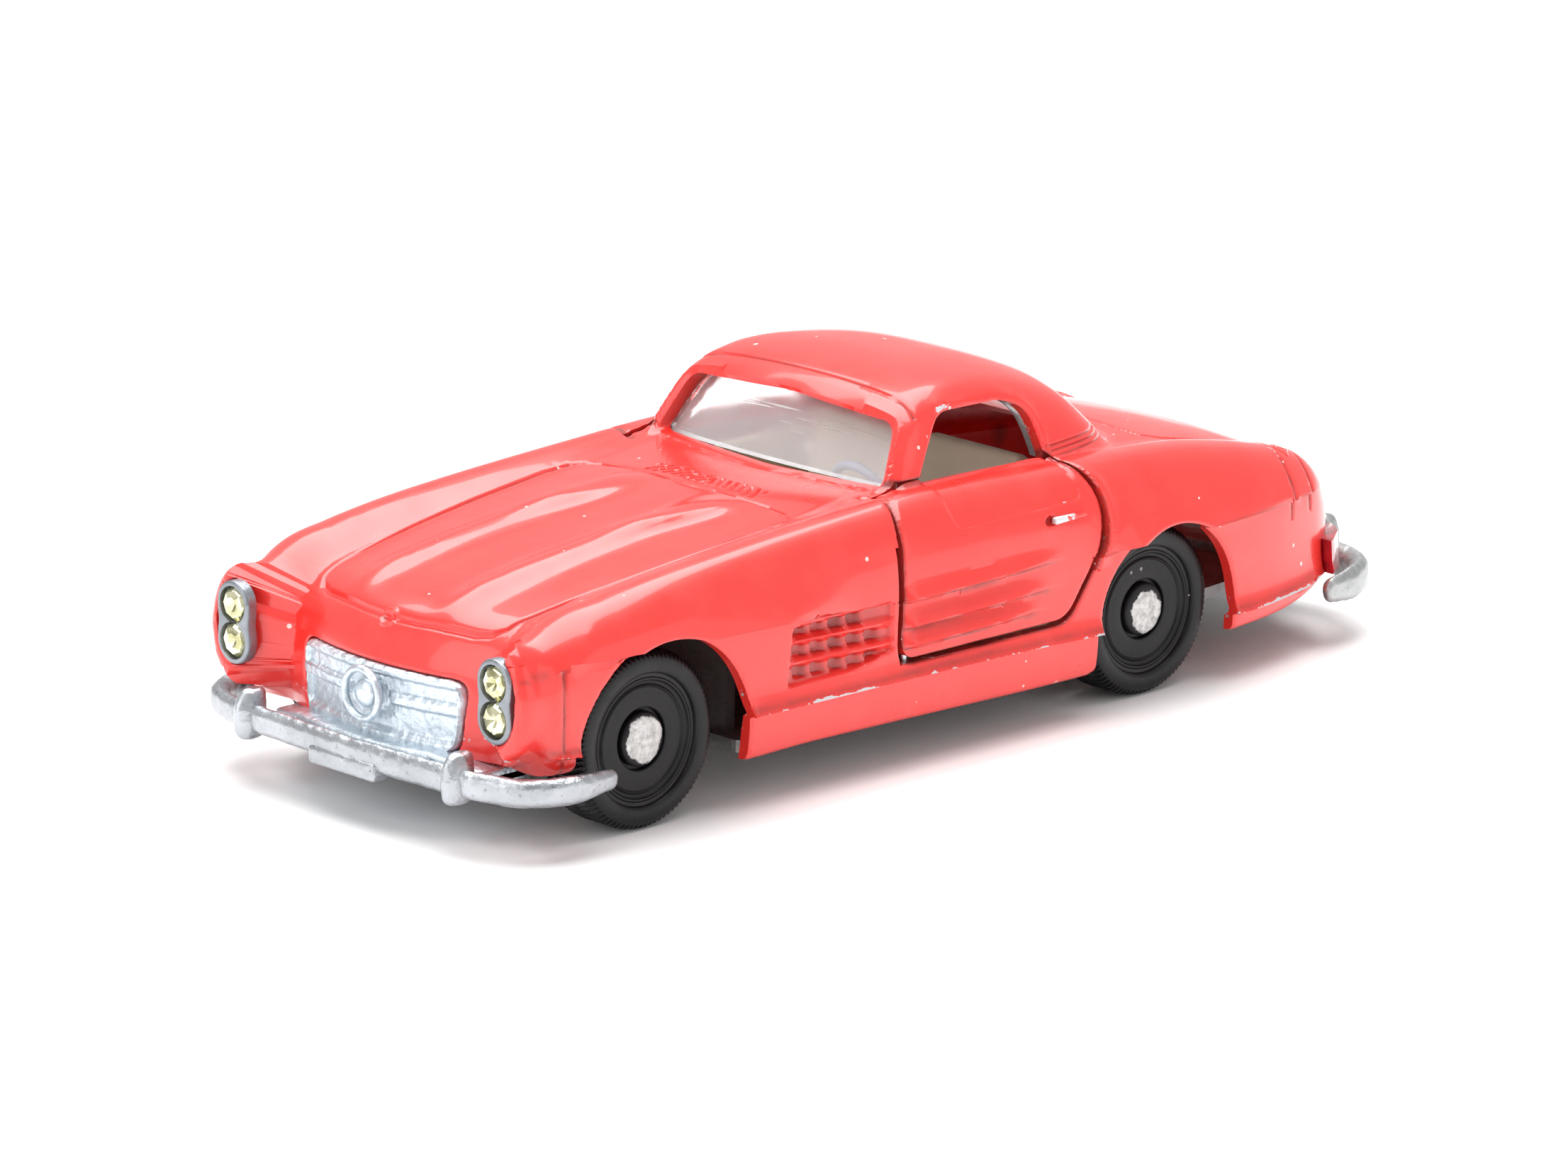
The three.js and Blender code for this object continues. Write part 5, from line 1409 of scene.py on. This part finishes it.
def cockpit():
    tub = [block(-9, 14.4, -14.4, 14.4, 5.8, 6.7, 0.2, 2)]
    for y in (-6.2, 6.2):
        profile = rounded([(-2, 6.2), (9.6, 6.2), (11.6, 20.2), (9.6, 20.9), (7.2, 13),
                           (-2, 13.4)], 1.1)
        seat = prism(profile, "side", y - 5.2, y + 5.2)
        bevel(seat, [e for e in sharp_edges(seat, 60)], 0.5, 3)
        tub.append(seat)
    tub.append(block(10.9, 14.4, -12.1, 12.1, 6, 18.9, 0.5, 3))
    tub.append(block(-5.2, 10.8, -14.3, -13.5, 6, 18.4, 0.3, 3, mirrored=True))
    piece("seat_moulding", joined(*tub), TRIM, "car", ["interior_tub"])
    profile = rounded([(-12.2, 15.2), (-7.2, 15.2), (-6, 18.2), (-6.9, 19.1), (-12.2, 18.7)], 0.7)
    rail = prism(profile, "side", -12.6, 12.6)
    bevel(rail, sharp_edges(rail, 60), 0.25, 3)
    hood = bmesh.new()
    bmesh.ops.create_uvsphere(hood, u_segments=24, v_segments=14, radius=1)
    bmesh.ops.scale(hood, vec=(1.5, 2.1, 1.35), verts=hood.verts)
    bmesh.ops.translate(hood, vec=(-6.9, -7, 18.7), verts=hood.verts)
    legs = block(-12.2, -10, -12.6, 12.6, 5.7, 15.5, 0.2, 2)
    piece("dash_moulding", joined(rail, hood, legs), DASH, "car", ["dashboard"])


def steering_wheel():
    """A rim on a tilted column, with a cross bar and a lower spoke."""
    radius, tube, tilt = 3.3, 0.4, 0.42

    def rim_place(s, t):
        a, b = 2 * math.pi * s, 2 * math.pi * t
        wide = radius + tube * math.cos(b)
        return Vector((wide * math.cos(a), wide * math.sin(a), tube * math.sin(b)))
    rim = place_grid(60, 12, rim_place)
    bar = block(-radius, radius, -0.32, 0.32, -0.2, 0.2, 0.15, 2)
    post = block(-0.32, 0.32, -radius, 0, -0.2, 0.2, 0.15, 2)
    boss = bmesh.new()
    bmesh.ops.create_cone(boss, cap_ends=True, segments=24, radius1=0.5, radius2=0.75, depth=2.0)
    bmesh.ops.translate(boss, vec=(0, 0, -0.6), verts=boss.verts)
    bm = joined(rim, bar, post, boss)
    pose = Matrix(((0, -math.sin(tilt), math.cos(tilt)), (1, 0, 0),
                   (0, math.cos(tilt), math.sin(tilt))))
    bmesh.ops.transform(bm, matrix=pose.to_4x4(), verts=bm.verts)
    bmesh.ops.translate(bm, vec=(-3, -7, 18.3), verts=bm.verts)
    piece("steering_rim", bm, DASH, "car", ["steering_wheel"])


# ---------------------------------------------------------------- wheels
TREAD_BLOCKS = 90


def tyre_profile():
    face, back = TYRE_FACE, TYRE_FACE - TYRE_WIDTH
    outer = TYRE_RADIUS
    crown = [(outer - 0.32, back + 0.05), (outer - 0.14, back + 0.22), (outer - 0.03, back + 0.5)]
    tread = [(outer, back + 0.5 + 0.3 * k) for k in range(1, 12)]
    shoulder = [(outer - 0.03, face - 0.75), (outer - 0.09, face - 0.5),
                (outer - 0.22, face - 0.28), (outer - 0.42, face - 0.1), (outer - 0.7, face - 0.01),
                (outer - 1.1, face),
                (5.6, face - 0.03), (5.42, face - 0.1), (5.32, face - 0.22), (5.26, face - 0.42),
                (5.0, face - 0.45)]
    return [(5.0, back), (outer - 0.6, back)] + crown + tread + shoulder + [(5.0, back)]


def tread_cut(radius, y, angle):
    """Herringbone grooves across the tread and over the shoulder."""
    across = (y - (TYRE_FACE - TYRE_WIDTH / 2)) / (TYRE_WIDTH / 2)
    phase = (angle / (2 * math.pi) * TREAD_BLOCKS + 1.3 * abs(across)) % 1.0
    cut = min(max((abs(phase - 0.5) - 0.16) / 0.12, 0), 1)
    band = min(max((radius - (TYRE_RADIUS - 0.5)) / 0.25, 0), 1)
    centre = 1 - 0.5 * math.exp(-(across / 0.06) ** 2)
    return radius - 0.24 * (1 - cut) * band * centre


def hub_profile():
    disc, back = HUB_DISC, TYRE_FACE - TYRE_WIDTH + 0.5
    return [(0.8, back), (4.99, back), (4.99, disc + 0.18), (4.94, disc + 0.24),
            (4.86, disc + 0.26), (4.76, disc + 0.24), (4.70, disc + 0.1),
            (4.62, disc + 0.02), (4.42, disc), (4.34, disc + 0.1), (4.26, disc + 0.15),
            (4.18, disc + 0.1), (4.10, disc), (3.4, disc), (2.66, disc), (2.55, disc - 0.03),
            (2.5, disc - 0.12), (2.48, disc - 0.52), (2.22, disc - 0.54), (2.2, disc - 0.06),
            (2.14, disc + 0.1), (1.98, disc + 0.2), (1.6, disc + 0.28), (1.0, disc + 0.34),
            (0.4, disc + 0.36), (0, disc + 0.36)]


def wheels():
    for end, axle_x in AXLES.items():
        for side, sign in SIDES:
            tyre = lathe(tyre_profile(), axle_x, sign, 540)
            for vert in tyre.verts:
                dx, dz = vert.co.x - axle_x, vert.co.z - AXLE_Z
                radius = math.hypot(dx, dz)
                if radius > TYRE_RADIUS - 0.5:
                    wanted = tread_cut(radius, abs(vert.co.y), math.atan2(dz, dx))
                    vert.co.x = axle_x + dx * wanted / radius
                    vert.co.z = AXLE_Z + dz * wanted / radius
            body = f"{end}_wheelset"
            piece(f"treaded_tyre_{end}_{side}", tyre, RUBBER, body, [f"tyre_{end}_{side}"],
                  50)
            hub = lathe(hub_profile(), axle_x, sign, 72)
            piece(f"hub_disc_{end}_{side}", hub, HUBS[end], body, [f"wheel_hub_{end}_{side}"],
                  50)


make_shell()
door_handles()
bright_metal()
headlamps()
tail_lamps()
glazing()
cockpit()
steering_wheel()
wheels()

for name, finish in (("base_plate", BASE_CASTING), ("base_rivet_front", BASE_CASTING),
                     ("base_rivet_rear", BASE_CASTING), ("axle_front", STEEL), ("axle_rear", STEEL),
                     ("door_hinge_pin_left", STEEL), ("door_hinge_pin_right", STEEL)):
    for slot_index in range(len(frame["nodes"][name].material_slots)):
        frame["nodes"][name].material_slots[slot_index].material = finish


# ---------------------------------------------------------------- floor, light and camera
def flat_material(name, colour):
    material, g, coords = new_material(name, Roughness=0.75)
    paler = tuple(min(1, c * 1.01) for c in colour[:3]) + (1,)
    tone = g.mix(g.noise(coords, 6.0, 2.0), colour, paler)
    g.drive(Base_Color=tone)
    return material


# name, place, power and width of each area light
LAMPS = (("overhead", (0.05, 0.1, 0.55), 5.6, 0.6), ("left_bank", (-0.6, 0.05, 0.3), 1.5, 0.5),
         ("right_bank", (0.25, -0.65, 0.25), 0.55, 0.5))
SKY_STRENGTH = 0.6


def studio():
    bm = bmesh.new()
    bmesh.ops.create_grid(bm, x_segments=4, y_segments=4, size=3)
    mesh = bpy.data.meshes.new("floor")
    bm.to_mesh(mesh)
    bm.free()
    mesh.materials.append(flat_material("pale_floor", (0.93, 0.93, 0.93, 1)))
    floor = bpy.data.objects.new("floor", mesh)
    bpy.context.scene.collection.objects.link(floor)
    world = bpy.data.worlds.new("studio")
    world.use_nodes = True
    world.node_tree.nodes["Background"].inputs["Color"].default_value = (1, 1, 1, 1)
    world.node_tree.nodes["Background"].inputs["Strength"].default_value = SKY_STRENGTH
    bpy.context.scene.world = world
    for name, place, power, width in LAMPS:
        lamp = bpy.data.lights.new(name, "AREA")
        lamp.energy = power
        lamp.size = width
        thing = bpy.data.objects.new(name, lamp)
        thing.location = place
        aim = Vector((0, 0, 0.01)) - thing.location
        thing.rotation_euler = aim.to_track_quat("-Z", "Y").to_euler()
        bpy.context.scene.collection.objects.link(thing)


# degrees for azimuth, elevation and roll; millimetres for the target, the distance and the lens
CAMERA_TURNS = (-43.935, 15.347, 0.397)
CAMERA_TARGET = (-5.461, 0, 10.061)
CAMERA_DISTANCE = 688.725
CAMERA_LENS = 195.3


def camera():
    azimuth, elevation, roll = (math.radians(turn) for turn in CAMERA_TURNS)
    target = (Vector(CAMERA_TARGET) + Vector((SHIFT, 0, 0))) * MM
    back = Vector((math.sin(azimuth) * math.cos(elevation),
                   -math.cos(azimuth) * math.cos(elevation), math.sin(elevation)))
    right = (-back).cross(Vector((0, 0, 1))).normalized()
    up = right.cross(-back)
    x_axis = math.cos(roll) * right + math.sin(roll) * up
    y_axis = -math.sin(roll) * right + math.cos(roll) * up
    optics = bpy.data.cameras.new("camera")
    optics.sensor_width = 36
    optics.lens = CAMERA_LENS
    optics.clip_start = 0.01
    thing = bpy.data.objects.new("camera", optics)
    turn = Matrix((x_axis, y_axis, back)).transposed()
    thing.matrix_world = Matrix.Translation(target + back * CAMERA_DISTANCE * MM) @ turn.to_4x4()
    bpy.context.scene.collection.objects.link(thing)
    bpy.context.scene.camera = thing


studio()
camera()
bpy.context.scene.view_settings.view_transform = "Standard"
